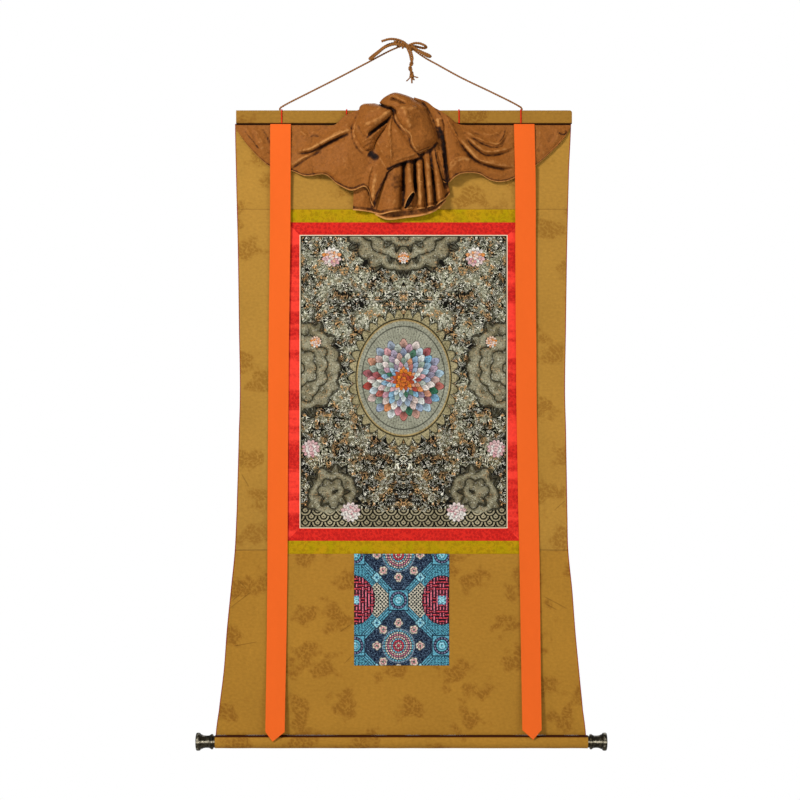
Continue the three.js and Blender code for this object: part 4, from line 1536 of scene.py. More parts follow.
@dataclass
class Batten:
    """The flat slat in its damask sleeve, with the red stitches that hold the cord and the veil to it."""

    finishes: Finishes
    stitches: tuple[float, ...] = (-259.4, -122.3, 115.3, 246.0)
    thread: float = 3.0
    worn_corner: float = 4.0

    def build(self) -> None:
        """Makes the sleeve and the stitches, and finishes the slat."""
        dress_wood("batten", self.finishes.wood)
        ring = rounded_loop(SIZES.batten_depth, SIZES.batten_height, SIZES.batten_round)
        start = SIZES.batten_x - SIZES.batten_width / 2
        middle = SIZES.batten_top - SIZES.batten_height / 2

        def wrap(u: Array, v: Array) -> Places:
            """The sleeve's outside, once round the slat.

            Args:
                u: Shares along.
                v: Shares round.

            Returns:
                x, y and z of each point.
            """
            x = start + SIZES.batten_width * u
            y, z = round_section(ring, v)
            foot = hump(z + 12.4, 1.6) * (y < 0)
            soft = 0.12 * np.sin(x / 31) * np.sin(x / 13 + 1.2) + 0.12 * np.sin(z / 5 + x / 47)
            end = np.clip((x - (start + SIZES.batten_width - self.worn_corner)) / self.worn_corner, 0, 1)
            z = np.where(z > 0, z - 3.0 * end**2, z)
            return x, y - 0.35 * foot + soft * np.sign(-y) * 0.6, z + middle

        sleeve = cloth("batten_cover", 260, 64, wrap, 0)
        close_round(sleeve, 0.9)
        hand_over(sleeve, self.finishes.batten_damask, ["batten_sleeve"])
        for number, x in enumerate(self.stitches, 1):
            self.stitch(number, x)

    def stitch(self, number: int, x: float) -> None:
        """Makes one stitch: a twisted red thread from the seam over the batten's top.

        Args:
            number: Its number from the left.
            x: Where it is across the scroll.
        """
        front = -SIZES.batten_depth / 2 - 1.1
        top = SIZES.batten_top
        path = route(
            [
                (x, front + 0.2, top - SIZES.batten_height + 0.9),
                (x, front, top - 20),
                (x, front, top - 10),
                (x, front + 0.1, top - 4),
                (x, front + 1.6, top - 0.4),
                (x, front + 5, top + 1.1),
                (x, 0, top + 1.1),
                (x, -front - 5, top + 1.1),
                (x, -front - 1.6, top - 0.4),
                (x, -front - 0.2, top - 3.6),
            ],
            0.6,
        )
        made = twisted(path, self.thread, 7.0)
        spun(f"stitch_{number}", made, self.finishes.thread, f"thread_{number}")


@dataclass
class Roller:
    """The dowel in its sleeve, with a turned bronze knob on each end."""

    finishes: Finishes
    knob: tuple[tuple[float, float], ...] = (
        # along, radius
        (0.0, 11.4), (0.3, 12.4), (3.4, 12.6), (3.9, 14.2), (4.4, 15.4), (5.2, 16.0), (6.8, 16.2), (8.2, 16.0),
        (8.9, 15.4), (9.3, 14.8), (10.4, 14.6), (10.9, 13.8), (13.0, 13.2), (16.0, 12.9), (20.0, 12.9),
        (24.0, 13.5), (27.0, 14.7), (28.2, 15.6), (28.9, 15.3), (30.4, 16.2), (31.2, 17.6), (32.2, 18.6),
        (34.6, 19.0), (37.2, 19.0), (38.8, 18.6), (39.8, 17.6), (40.2, 15.8), (40.8, 13.4), (40.6, 9.0),
        (41.2, 7.6), (41.5, 4.0),
    )

    def build(self) -> None:
        """Makes the sleeve and the knobs, and finishes the dowel."""
        dress_wood("roller", self.finishes.wood)
        width = SIZES.roller_right - SIZES.roller_left

        def wrap(u: Array, v: Array) -> Places:
            """The sleeve's outside, once round the dowel.

            Args:
                u: Shares along.
                v: Shares round.

            Returns:
                x, y and z of each point.
            """
            x = SIZES.roller_left + width * u
            turn = 2 * math.pi * v
            seam = 0.45 * hump(v - 0.79, 0.012)
            puckers = 0.12 * np.sin(x / 17 + 2 * np.sin(x / 59)) * np.cos(2 * turn)
            radius = SIZES.roller_radius - 0.15 + seam + puckers
            return x, -radius * np.cos(turn), SIZES.roller_z - radius * np.sin(turn)

        sleeve = cloth("roller_cover", 260, 64, wrap, 0)
        close_round(sleeve, 0.9)
        hand_over(sleeve, self.finishes.bottom_damask, ["roller_sleeve"])
        for side in Side:
            self.turn_knob(side)

    def turn_knob(self, side: Side) -> None:
        """Makes one knob: a ring drawn out and resized along its profile, then capped.

        Args:
            side: The end of the roller that it is on.
        """
        start = (SIZES.roller_right if side is Side.RIGHT else SIZES.roller_left) + side.sign * SIZES.gap
        deselect()
        place = (start * MM, 0.0, SIZES.roller_z * MM)
        bpy.ops.mesh.primitive_circle_add(
            vertices=72,
            radius=self.knob[0][1] * MM,
            fill_type="NOTHING",
            location=place,
            rotation=(0, math.pi / 2, 0),
        )
        piece = bpy.context.object
        bpy.ops.object.mode_set(mode="EDIT")
        bpy.ops.mesh.select_mode(type="VERT")
        bpy.ops.mesh.select_all(action="SELECT")
        bpy.ops.mesh.edge_face_add()
        for (here, radius), (there, wider) in zip(self.knob, self.knob[1:]):
            step = side.sign * (there - here) * MM
            bpy.ops.mesh.extrude_region_move(TRANSFORM_OT_translate={"value": (step, 0, 0)})
            centre = (place[0] + side.sign * there * MM, 0.0, place[2])
            bpy.ops.transform.resize(value=(1, wider / radius, wider / radius), center_override=centre)
        bpy.ops.mesh.select_all(action="SELECT")
        bpy.ops.mesh.remove_doubles(threshold=ONE_POINT)
        bpy.ops.mesh.normals_make_consistent(inside=False)
        bpy.ops.object.mode_set(mode="OBJECT")
        piece.name = piece.data.name = f"turned_knob_{side.value}"
        settle(piece)
        smooth(piece, 50)
        hand_over(piece, self.finishes.bronze, [f"knob_{side.value}"])


# The ground cloth and the picture


def even(count: int) -> Array:
    """The shares from 0 to 1 of so many even steps."""
    return np.linspace(0, 1, count + 1)


@dataclass
class GroundCloth:
    """Four panels of damask sewn edge to edge, piped at the sides, drawn in at the middle and flaring
    to the roller."""

    finishes: Finishes
    seam: float = 1.6  # how far from a seam the cloth is drawn in
    step: float = 0.02  # how far apart the two columns stand
    heights: tuple[float, ...] = (
        *(-164, -261, -430, -600, -727, -811, -981), *(-1065, -1150, -1235, -1319, -1404, -1457)
    )
    left: tuple[float, ...] = (
        *(-358.5, -356.5, -352.5, -350, -348, -350, -354.5), *(-358.5, -367, -375.5, -382, -392.5, -399.5)
    )
    right: tuple[float, ...] = (352.5, 348, 344, 341.5, 339.5, 341.5, 344, 346, 354.5, 361, 369, 377.5, 384)
    curl: tuple[float, ...] = (0, 0.5, 1, 2, 3.5, 5, 7, 8, 8, 7, 5, 2, 0)
    creases: tuple[Fold, ...] = folds(
        ((-367, -1186), (-346, -1171), (-326, -1155), 4.0, 4.0, 1.1),
        ((-360, -1268), (-340, -1265), (-314, -1260), 4.0, 4.0, 0.8),
        ((296, -1162), (318, -1178), (342, -1188), 3.5, 2.2, 0.9),
        ((-352, -880), (-338, -930), (-330, -990), 4.0, 2.5, 0.6),
        ((338, -900), (322, -960), (318, -1010), 4.0, 2.5, 0.5),
        ((300, -1075), (310, -1200), (330, -1330), 9.0, 9.0, -0.8),
        ((-300, -1080), (-318, -1210), (-342, -1350), 9.0, 9.0, -0.8),
    )

    def edge(self, side: Side, z: Array | float) -> Array:
        """Where a side edge is at a height."""
        return at_height(self.heights, self.left if side is Side.LEFT else self.right, z)

    def forward(self, x: Array, z: Array) -> Array:
        """How far the cloth curls forward of the flat middle.

        Args:
            x: Places across the scroll.
            z: Heights.

        Returns:
            The distance forward at each point.
        """
        flat = SIZES.half_frame
        edge = np.where(x < SIZES.picture_x, self.edge(Side.LEFT, z), self.edge(Side.RIGHT, z))
        reach = np.abs(edge - SIZES.picture_x)
        share = np.clip((np.abs(x - SIZES.picture_x) - flat) / (reach - flat), 0, None)
        return at_height(self.heights, self.curl, z) * share**2

    def beside_piping(self, side: Side, z: Array) -> Array:
        """Where the damask ends beside the piping."""
        return self.edge(side, z) - side.sign * (SIZES.piping_width + SIZES.gap)

    def beside_frame(self, side: Side, z: Array) -> Array:
        """Where a side panel meets the frame."""
        return np.full(np.shape(z), SIZES.picture_x + side.sign * (SIZES.half_frame + SIZES.gap))

    def panel(
        self, name: str, rows: int, shares: Array, left: Line, right: Line, top: Array | float, foot: float
    ) -> None:
        """Makes one panel.

        Args:
            name: The panel's name.
            rows: Faces down.
            shares: Where its columns stand, from one side line at 0 to the other at 1.
            left: The left side line by height.
            right: The right side line by height.
            top: The upper edge, one height or one for each column.
            foot: The lower edge.
        """
        tops = np.broadcast_to(top, shares.shape)
        highest = float(np.max(tops))

        def face(u: Array, v: Array) -> Places:
            """The panel's front.

            Args:
                u: Shares across.
                v: Shares down.

            Returns:
                x, y and z of each point.
            """
            column = np.round(u * (len(shares) - 1)).astype(int)
            share, upper = shares[column], tops[column]
            z = upper + (foot - upper) * v
            x = left(z) + (right(z) - left(z)) * share
            seam = hump(upper - z, self.seam) + hump(z - foot, self.seam)
            inner = hump(np.abs(x - SIZES.picture_x) - SIZES.half_frame, self.seam)
            soft = 0.5 + 0.25 * np.sin(x / 43 + z / 130) + 0.25 * np.sin(z / 71 - x / 90)
            pressed = sum(fold.push(x, z) for fold in self.creases)
            return x, -1 - self.forward(x, z) + 0.8 * np.maximum(seam, inner) + 0.6 * soft - pressed, z

        span = float(np.max(right(np.array([foot])) - left(np.array([foot]))))
        piece = cloth(name + "_cloth", len(shares) - 1, rows, face, SIZES.ground * 0.7, (span, abs(foot)))
        finish = self.finishes.bottom_damask if "bottom" in name else self.finishes.damask
        hand_over(piece, finish, [name])
        middle = np.array([(highest + foot) / 2])
        sew((float((right(middle) - left(middle))[0]), abs(highest - foot)))

    def build(self) -> None:
        """Makes the four panels and the piping along both side edges."""
        left, right = (partial(self.beside_piping, side) for side in Side)
        inner_left, inner_right = (partial(self.beside_frame, side) for side in Side)
        frame_top, seam = SIZES.frame_top, SIZES.side_seam
        self.panel("panel_top", 44, even(140), left, right, SIZES.ground_top, frame_top + SIZES.gap)
        self.panel("panel_left", 190, even(20), left, inner_left, frame_top, seam)
        self.panel("panel_right", 190, even(20), inner_right, right, frame_top, seam)

        # The bottom panel steps down under the frame between two close columns on either side.
        line = np.array([seam])
        span = float((right(line) - left(line))[0])
        first, last = (float((x - left(line))[0]) / span for x in (inner_left(line), inner_right(line)))
        tight = self.step / span
        outer = even(22)[:-1]
        shares = np.concatenate(
            [
                outer * first,
                [first - tight],
                first + (last - first) * even(96),
                [last + tight],
                (1 - outer * (1 - last))[::-1],
            ]
        )
        framed = (shares >= first) & (shares <= last)
        tops = np.where(framed, SIZES.door_top, seam) - SIZES.gap
        self.panel("panel_bottom", 96, shares, left, right, tops, SIZES.ground_foot)
        for side in Side:
            self.pipe(side)

    def pipe(self, side: Side) -> None:
        """Makes the piping of one side edge.

        Args:
            side: The edge.
        """
        z = np.linspace(SIZES.ground_top, SIZES.ground_foot, 400)
        x = self.edge(side, z) - side.sign * SIZES.piping_width / 2
        path = np.column_stack([x, -at_height(self.heights, self.curl, z), z])
        wave = 1 + 0.08 * np.sin(np.arange(400) * 2.4)
        made = tube(path, 1.35, 0.85 * wave, 10)
        spun(f"edge_piping_{side.value}", made, self.finishes.piping, f"piping_{side.value}")


@dataclass
class Picture:
    """The painted canvas in its red and yellow brocade frames, and the door panel under them."""

    finishes: Finishes

    def build(self) -> None:
        """Makes the frames' eight strips, the canvas and the door panel."""
        half = SIZES.picture_width / 2
        top, foot = SIZES.picture_top, SIZES.picture_foot
        self.frame("yellow", half + SIZES.red + SIZES.yellow, SIZES.frame_top, SIZES.door_top, SIZES.yellow)
        self.frame("red", half + SIZES.red, top + SIZES.red, foot - SIZES.red, SIZES.red)
        corners = ((-half, top), (half, top), (-half, foot), (half, foot))
        canvas = self.flat("painting", corners, 60, 84, 1.2)
        hand_over(canvas, self.finishes.canvas, ["painting"], self.finishes.cotton)
        sew((SIZES.picture_width, SIZES.picture_height))
        self.door()

    def flat(
        self, name: str, corners: Sequence[tuple[float, float]], columns: int, rows: int, thickness: float
    ) -> Piece:
        """Makes a strip or panel sewn in flat, pulled back a little into the seams round it.

        Args:
            name: The name of the solid that it stands for.
            corners: Its upper left, upper right, lower left and lower right corners as (x, z) from the
                picture's middle line.
            columns: Faces across.
            rows: Faces down.
            thickness: How thick it is.

        Returns:
            The strip.
        """
        (ax, az), (bx, bz), (cx, cz), (dx, dz) = corners
        wide = math.hypot(bx - ax, bz - az)
        tall = math.hypot(cx - ax, cz - az)

        def face(u: Array, v: Array) -> Places:
            """The strip's front."""
            x = (ax + (bx - ax) * u) * (1 - v) + (cx + (dx - cx) * u) * v + SIZES.picture_x
            z = (az + (bz - az) * u) * (1 - v) + (cz + (dz - cz) * u) * v
            side = np.minimum(np.minimum(u, 1 - u) * wide, np.minimum(v, 1 - v) * tall)
            soft = 0.12 * (1 + np.sin(x / 37 + z / 53))
            return x, -1 + 0.7 * hump(side, 1.4) + soft, z

        return cloth(name + "_cloth", columns, rows, face, thickness, (wide, tall))

    def frame(self, name: str, half: float, top: float, foot: float, strip: float) -> None:
        """Makes four mitred strips round an opening.

        Args:
            name: The frame's colour, which its solids are named by.
            half: From the middle to its outer side edge.
            top: Its upper edge.
            foot: Its lower edge.
            strip: How wide a strip is.
        """
        wide = strip - SIZES.gap
        inner = half - wide
        outer, short = half - SIZES.gap, inner - SIZES.gap
        shapes = {
            "top": ((-outer, top), (outer, top), (-short, top - wide), (short, top - wide)),
            "bottom": ((-short, foot + wide), (short, foot + wide), (-outer, foot), (outer, foot)),
            "left": ((-half, top), (-inner, top - wide), (-half, foot), (-inner, foot + wide)),
            "right": ((inner, top - wide), (half, top), (inner, foot + wide), (half, foot)),
        }
        for place, corners in shapes.items():
            level = place in ("top", "bottom")
            node = f"{name}_{place}"
            piece = self.flat(node, corners, 160 if level else 14, 14 if level else 160, 1.4)
            reds = self.finishes.red_level if level else self.finishes.red_upright
            hand_over(piece, reds if name == "red" else self.finishes.yellow, [node])
            long = 2 * half if level else top - foot
            flat = (long * MM, strip * MM)
            0.999 * flat[0] * flat[1]

    def door(self) -> None:
        """Makes the door panel, sewn on the ground cloth under the frame, with its stitched edge."""
        top = SIZES.door_top - SIZES.gap
        foot = top - SIZES.door_height
        start = SIZES.door_x - SIZES.door_width / 2

        def face(u: Array, v: Array) -> Places:
            """The door panel's front.

            Args:
                u: Shares across.
                v: Shares down.

            Returns:
                x, y and z of each point.
            """
            x = start + SIZES.door_width * u
            z = top + (foot - top) * v
            side = np.minimum(np.minimum(x - start, start + SIZES.door_width - x), z - foot)
            edge = 0.5 * hump(side, 1.2)
            stitch = 0.22 * hump(side - 3.0, 0.9)
            return x, -2.15 + edge + stitch - 0.1 * np.sin(x / 29) * np.sin(z / 41), z

        flat = (SIZES.door_width, SIZES.door_height)
        piece = cloth("door_brocade", 120, 140, face, 0.8, flat)
        hand_over(piece, self.finishes.door, ["door_panel"])
        sew(flat)


# The ribbons and the veil


@dataclass
class RibbonPair:
    """Two flat silk ribbons that hang in front from the seam under the batten, cut to a point."""

    finishes: Finishes
    heights: tuple[float, ...] = (-164.6, -620, -1055, -1448)
    widths: tuple[float, ...] = (43.4, 43, 42.6, 40.8)
    bend_at: tuple[float, ...] = (-164.6, -300, -400, -540, -640, -750, -855, -960, -1065, -1170, -1448)
    middles: dict[Side, tuple[float, ...]] = field(
        default_factory=lambda: {
            Side.LEFT: (-262, -262.2, -262.9, -264.7, -266, -266.7, -267.6, -268.2, -268.5, -269.4, -273),
            Side.RIGHT: (253, 255.4, 255.8, 256.4, 257.3, 258, 259.9, 261.6, 263.9, 265.6, 268.8),
        }
    )
    tips: dict[Side, tuple[float, float]] = field(
        default_factory=lambda: {Side.LEFT: (-279.5, -1468.5), Side.RIGHT: (271.9, -1464.5)}
    )
    feet: dict[Side, float] = field(default_factory=lambda: {Side.LEFT: -1448.0, Side.RIGHT: -1444.0})
    stand_at: tuple[float, ...] = (-164.6, -172, -184, -205, -245, -290, -420, -800, -1150, -1330, -1430, -1470)
    stand: tuple[float, ...] = (5.3, 8.4, 10.6, 11.6, 11.8, 10.6, 7, 4.6, 5, 8, 15.2, 17.4)

    def build(self) -> None:
        """Makes both ribbons."""
        for side in Side:
            self.ribbon(side)

    def ribbon(self, side: Side) -> None:
        """Makes one ribbon.

        Args:
            side: The side that it hangs on.
        """
        top, foot = self.heights[0], self.feet[side]
        tip_x, tip_z = self.tips[side]

        def face(u: Array, v: Array) -> Places:
            """The ribbon's front.

            Args:
                u: Shares across.
                v: Shares down.

            Returns:
                x, y and z of each point.
            """
            level = top + (foot - top) * v
            point = (1 - np.abs(2 * u - 1)) * np.clip((foot + 26 - level) / 26, 0, 1)
            z = level + (tip_z - foot) * point
            centre = at_height(self.bend_at, self.middles[side], level)
            width = at_height(self.heights, self.widths, level)
            out = at_height(self.stand_at, self.stand, z)
            edge = np.minimum(u, 1 - u) * width
            selvedge = 0.25 * hump(edge - 1.2, 0.8)
            cup = 0.5 * (2 * u - 1) ** 2 * np.sin(z / 97 + side.sign)
            drift = 0.5 * np.sin(z / 83 + side.sign)
            x = centre + width * (u - 0.5) + (tip_x - centre) * point * 0.8
            return x, 0.5 - out - selvedge - cup + 0.6 * drift * np.clip(v * 8, 0, 1), z

        flat = (43.0, top - foot + 24)
        piece = cloth(f"{side.value}_ribbon", 18, 420, face, 0.7, flat)
        hand_over(piece, self.finishes.ribbon, [f"ribbon_{side.value}"])
        sew(flat)


@dataclass(frozen=True)
class Rows:
    """A table of a cloth's sections, one row for each, with named columns."""

    names: tuple[str, ...]
    rows: tuple[tuple[float, ...], ...]

    def at(self, name: str, share: Array) -> Array:
        """A column's value at shares of the table's length."""
        return between([row[self.names.index(name)] for row in self.rows], share * (len(self.rows) - 1))


SWAG_NAMES = ("x", "top", "foot", "hem", "start", "out")
ARCH_NAMES = ("x1", "z1", "y1", "x2", "z2", "y2", "rise")
PLEAT_NAMES = ("waist", "foot", "hem", "out")


@dataclass
class Veil:
    """One piece of thin silk, gathered over the middle of the batten into a knot of lobes with a pleated
    tail, and swagged to both corners under the ribbons."""

    finishes: Finishes
    flat: tuple[float, float] = (0.76, 0.26)  # metres, before it was gathered
    waist_z: float = -222.0
    waist_out: float = 24.0
    left_swag: Rows = Rows(
        SWAG_NAMES,
        (
            (-357.5, -167, -357.5, -172.5, 3.2, 4.5), (-330, -167, -329, -213, 3.2, 7.5),
            (-285, -167, -284, -255, 3.2, 8), (-240, -167, -239, -264, 3.2, 8.5),
            (-208, -167, -209, -275, 3.2, 14), (-176, -167, -168, -273, 4, 18),
            (-148, -167, -142, -293, 11, 25), (-124, -146, -112, -307, 12.4, 31),
            (-98, -136, -86, -299, 12.6, 28), (-70, -126, -75, -309, 13, 24), (-34, -128, -71, -330, 13, 29),
            (16, -132, -65, -341, 13, 24),
        ),
    )
    right_swag: Rows = Rows(
        SWAG_NAMES,
        (
            (20, -109, 50, -250, 12.6, 22), (46, -118, 78, -284, 12.6, 20), (62, -130, 90, -290, 12.4, 13),
            (76, -138, 98, -286, 12.4, 28), (94, -150, 110, -276, 12.4, 29), (116, -166, 127, -270, 11, 25),
            (158, -167, 157, -271, 4, 20), (183, -167, 183, -285, 3.2, 17), (208, -167, 208, -287, 3.2, 13),
            (234, -167, 232, -279, 3.2, 8.5), (278, -167, 278, -252, 3.2, 8), (330, -167, 330, -204, 3.2, 7.5),
            (351.5, -167, 351.5, -171.5, 3.2, 4.5),
        ),
    )
    left_lobe: Rows = Rows(
        ARCH_NAMES,
        (
            (-86, -122.5, 9.5, -62, -122, 12, 3), (-94, -128, 9.5, -50, -126, 16, 13),
            (-97, -139, 9.5, -25, -133, 28, 22), (-102, -156, 9.5, -22, -152, 26, 30),
            (-109, -177, 10, -40, -177, 24, 30), (-101, -202, 12, -56, -198, 24, 23),
            (-92, -219, 14, -63, -213, 22, 15), (-84, -228, 16, -73, -223, 20, 5),
        ),
    )
    right_lobe: Rows = Rows(
        ARCH_NAMES,
        (
            (-14, -122, 22, 33, -118, 12, 13), (-22, -138, 38, 46, -132, 9.5, 24),
            (-15, -158, 44, 55, -157, 9.5, 28), (-2, -178, 45, 63, -175, 9.5, 28),
            (14, -198, 43, 70, -191, 10, 23), (18, -218, 38, 69, -202, 12, 16), (28, -229, 28, 50, -218, 18, 5),
        ),
    )
    top_lobe: Rows = Rows(
        ARCH_NAMES,
        (
            (-53, -120, 9.5, -43, -136, 20, 5), (-43, -109, 9.5, -27, -143, 30, 13),
            (-22, -99, 9.5, -9, -149, 34, 18), (-1, -103, 9.5, 12, -149, 36, 18),
            (22, -112, 9.5, 33, -142, 30, 14), (41, -119, 9.5, 48, -134, 20, 6),
        ),
    )
    flap: Rows = Rows(
        ARCH_NAMES,
        (
            (-30, -136, 28, -6, -136, 28, 4), (-40, -170, 32, 8, -178, 34, 11),
            (-56, -198, 29, 24, -208, 30, 15), (-62, -217, 27, 31, -230, 28, 14),
            (-52, -241, 25, 31, -240, 25, 11), (-37, -268, 23, -12, -251, 23, 5),
        ),
    )
    pleats: Rows = Rows(
        PLEAT_NAMES,
        (
            (-104, -109, -347, 10), (-88, -90, -349, 13), (-70, -73, -351, 7), (-48, -62, -354, 8),
            (-30, -50, -357, 17), (-16, -30, -353, 28), (-7, -13, -350, 22), (-1, -3, -347, 3),
            (7, 8, -345, 18), (14, 16, -344, 18), (20.5, 22, -346, 3), (27, 32, -346, 30), (34, 40, -345, 26),
            (38.5, 46, -343, 7), (44, 51, -342, 30), (50, 59, -340, 27), (54, 65, -338, 5), (60, 74, -333, 29),
            (66, 84, -326, 24), (70, 89, -320, 7), (77, 96, -312, 12),
        ),
    )
    under_layer: Rows = Rows(
        PLEAT_NAMES,
        (
            (-40, -62, -357, 9), (-30, -36, -368, 15), (0, 0, -364, 10), (20, 38, -359, 15), (40, 67, -348, 9),
            (56, 88, -328, 8),
        ),
    )
    swag_folds: tuple[Fold, ...] = folds(
        # The long tucks of the left swag, each a lip over the cloth below it
        ((-226, -222), (-202.6, -220.4), (-185, -212), (-162, -199.7), (-135, -187), (-112, -178), 13, 2.6, 8),
        ((-222, -227), (-200, -226), (-160, -206), (-118, -186), 2.5, 7, -5),
        ((-242, -256), (-221, -241.5), (-200, -230), (-176, -214), 9, 2.4, 5),
        ((-196, -236), (-172, -224), (-150, -222), 4, 8, -2.5),
        ((-221, -177), (-214, -186), (-206, -190), 4, 2.5, 2.6),
        ((-198, -185), (-190, -181), (-180, -184), 2.2, 3.2, 1.8),
        ((-190, -270), (-150, -262), (-112, -250), 22, 16, 5),
        ((-196, -268), (-160, -268), (-124, -297), 7, 4, 2.5),
        ((-68, -252), (-76, -280), (-78, -306), 3, 9, 5),
        ((-318, -174), (-305, -205), (-296, -238), 8, 5, 3.4),
        ((-336, -172), (-326, -190), (-318, -212), 4, 3, 2.0),
        ((-150, -178), (-126, -168), (-104, -158), 8, 5, 3.5),
        ((-120, -142), (-128, -158), (-140, -170), 4, 6, 2.5),
        # The right swag: the long fold from the knot, the catenaries over it and the pocket beside the lobe
        (
            *((70, -132), (86.2, -143.4), (101, -176.7), (115.9, -198.9), (130.7, -217.4), (152.9, -239.6)),
            *((186.2, -250.8), (212, -254.5), (234, -254), 15, 3.0, 8),
        ),
        ((112, -202), (130, -224), (152, -246), (186, -257), (226, -260), 3.0, 7, -4.5),
        ((127, -187), (149.2, -210), (167.7, -223), (186.2, -225), (208.4, -221), (232, -212), 8, 2.6, 6),
        ((130, -199), (150, -218), (168, -230), (190, -231), (226, -222), 2.4, 6, -3.5),
        (
            (125, -178), (141.8, -190), (160.3, -199), (179, -206), (197, -208), (207, -199), (219.5, -178),
            6, 2.4, 5,
        ),
        ((136, -172), (160, -184), (186, -188), (206, -178), 6, 3, 3),
        ((206, -204), (212, -190), (222, -176), 3, 5, -3),
        ((78, -156), (80, -190), (84, -225), (88, -260), (94, -292), 4, 6, -15),
        ((94, -268), (100, -246), (118, -237), (140, -240), 3, 15, 5),
        ((120, -262), (150, -258), (186, -268), (214, -274), 9, 6, 2.6),
        ((330, -175), (322, -192), (312, -214), 4, 6, 2.4),
        ((332, -172), (342, -178), (348, -174), 3, 3, 1.8),
        ((284, -172), (290, -205), (296, -236), 6, 6, 2.4),
    )
    lobe_folds: tuple[Fold, ...] = folds(
        # The left lobe: its bright rim, the deep crease across it and the fan of small creases at its foot
        ((-92, -126), (-106, -150), (-106, -180), (-98, -204), (-88, -220), 6, 3, 3.5),
        ((-18, -146), (-30, -158), (-43, -168), (-60, -180), (-76, -193), 3.5, 5, -11),
        ((-24, -158), (-40, -172), (-58, -186), (-74, -200), 6, 6, 5),
        ((-30, -138), (-46, -152), (-66, -164), (-88, -170), 7, 5, 4),
        ((-44, -130), (-62, -140), (-84, -146), 4, 4, 2.2),
        ((-88, -216), (-74, -208), (-60, -203), 2.4, 2.4, 3),
        ((-92, -208), (-78, -201), (-64, -197), 2.4, 2.4, 2.4),
        ((-84, -223), (-74, -217), (-64, -211), 2.4, 2.4, 2.4),
        ((-82, -196), (-92, -184), (-98, -168), 4, 4, -2.5),
        # The right lobe
        ((30, -146), (27, -176), (25, -204), (30, -222), 13, 13, -4.5),
        ((44, -140), (56, -160), (62, -184), (58, -204), 6, 8, 3),
        ((0, -140), (6, -160), (14, -180), 6, 6, 2.5),
        ((20, -206), (34, -220), (52, -212), 3, 5, 2),
        # The top lobe and the seam between it and the knot
        ((-30, -111), (-20, -115), (-6, -122), (3, -127), 2.4, 3.4, -6),
        ((-56, -122), (-44, -131), (-27, -135), (-21, -142), (-20, -152), (-16, -160), 3.4, 3.4, -8),
        ((20, -112), (27, -118), (38, -124), (48, -132), 2.6, 3.4, -5),
        ((-38, -112), (-22, -106), (0, -108), (18, -114), 4, 6, 3),
        ((-10, -134), (6, -138), (26, -134), 8, 6, 3),
    )
    flap_folds: tuple[Fold, ...] = folds(
        ((-26, -146), (-30, -170), (-30, -200), (-29, -226), (-27, -254), 2.6, 4.5, 4.5),
        ((-30, -150), (-44, -172), (-56, -196), (-58, -214), 3.5, 6, 3),
        ((-20, -160), (-8, -180), (6, -200), (16, -220), 5, 5, -3.5),
        ((-56, -206), (-48, -226), (-36, -248), 4, 3, 2.5),
        ((-24, -246), (-6, -240), (14, -234), (28, -228), 4, 2.4, 2.5),
    )
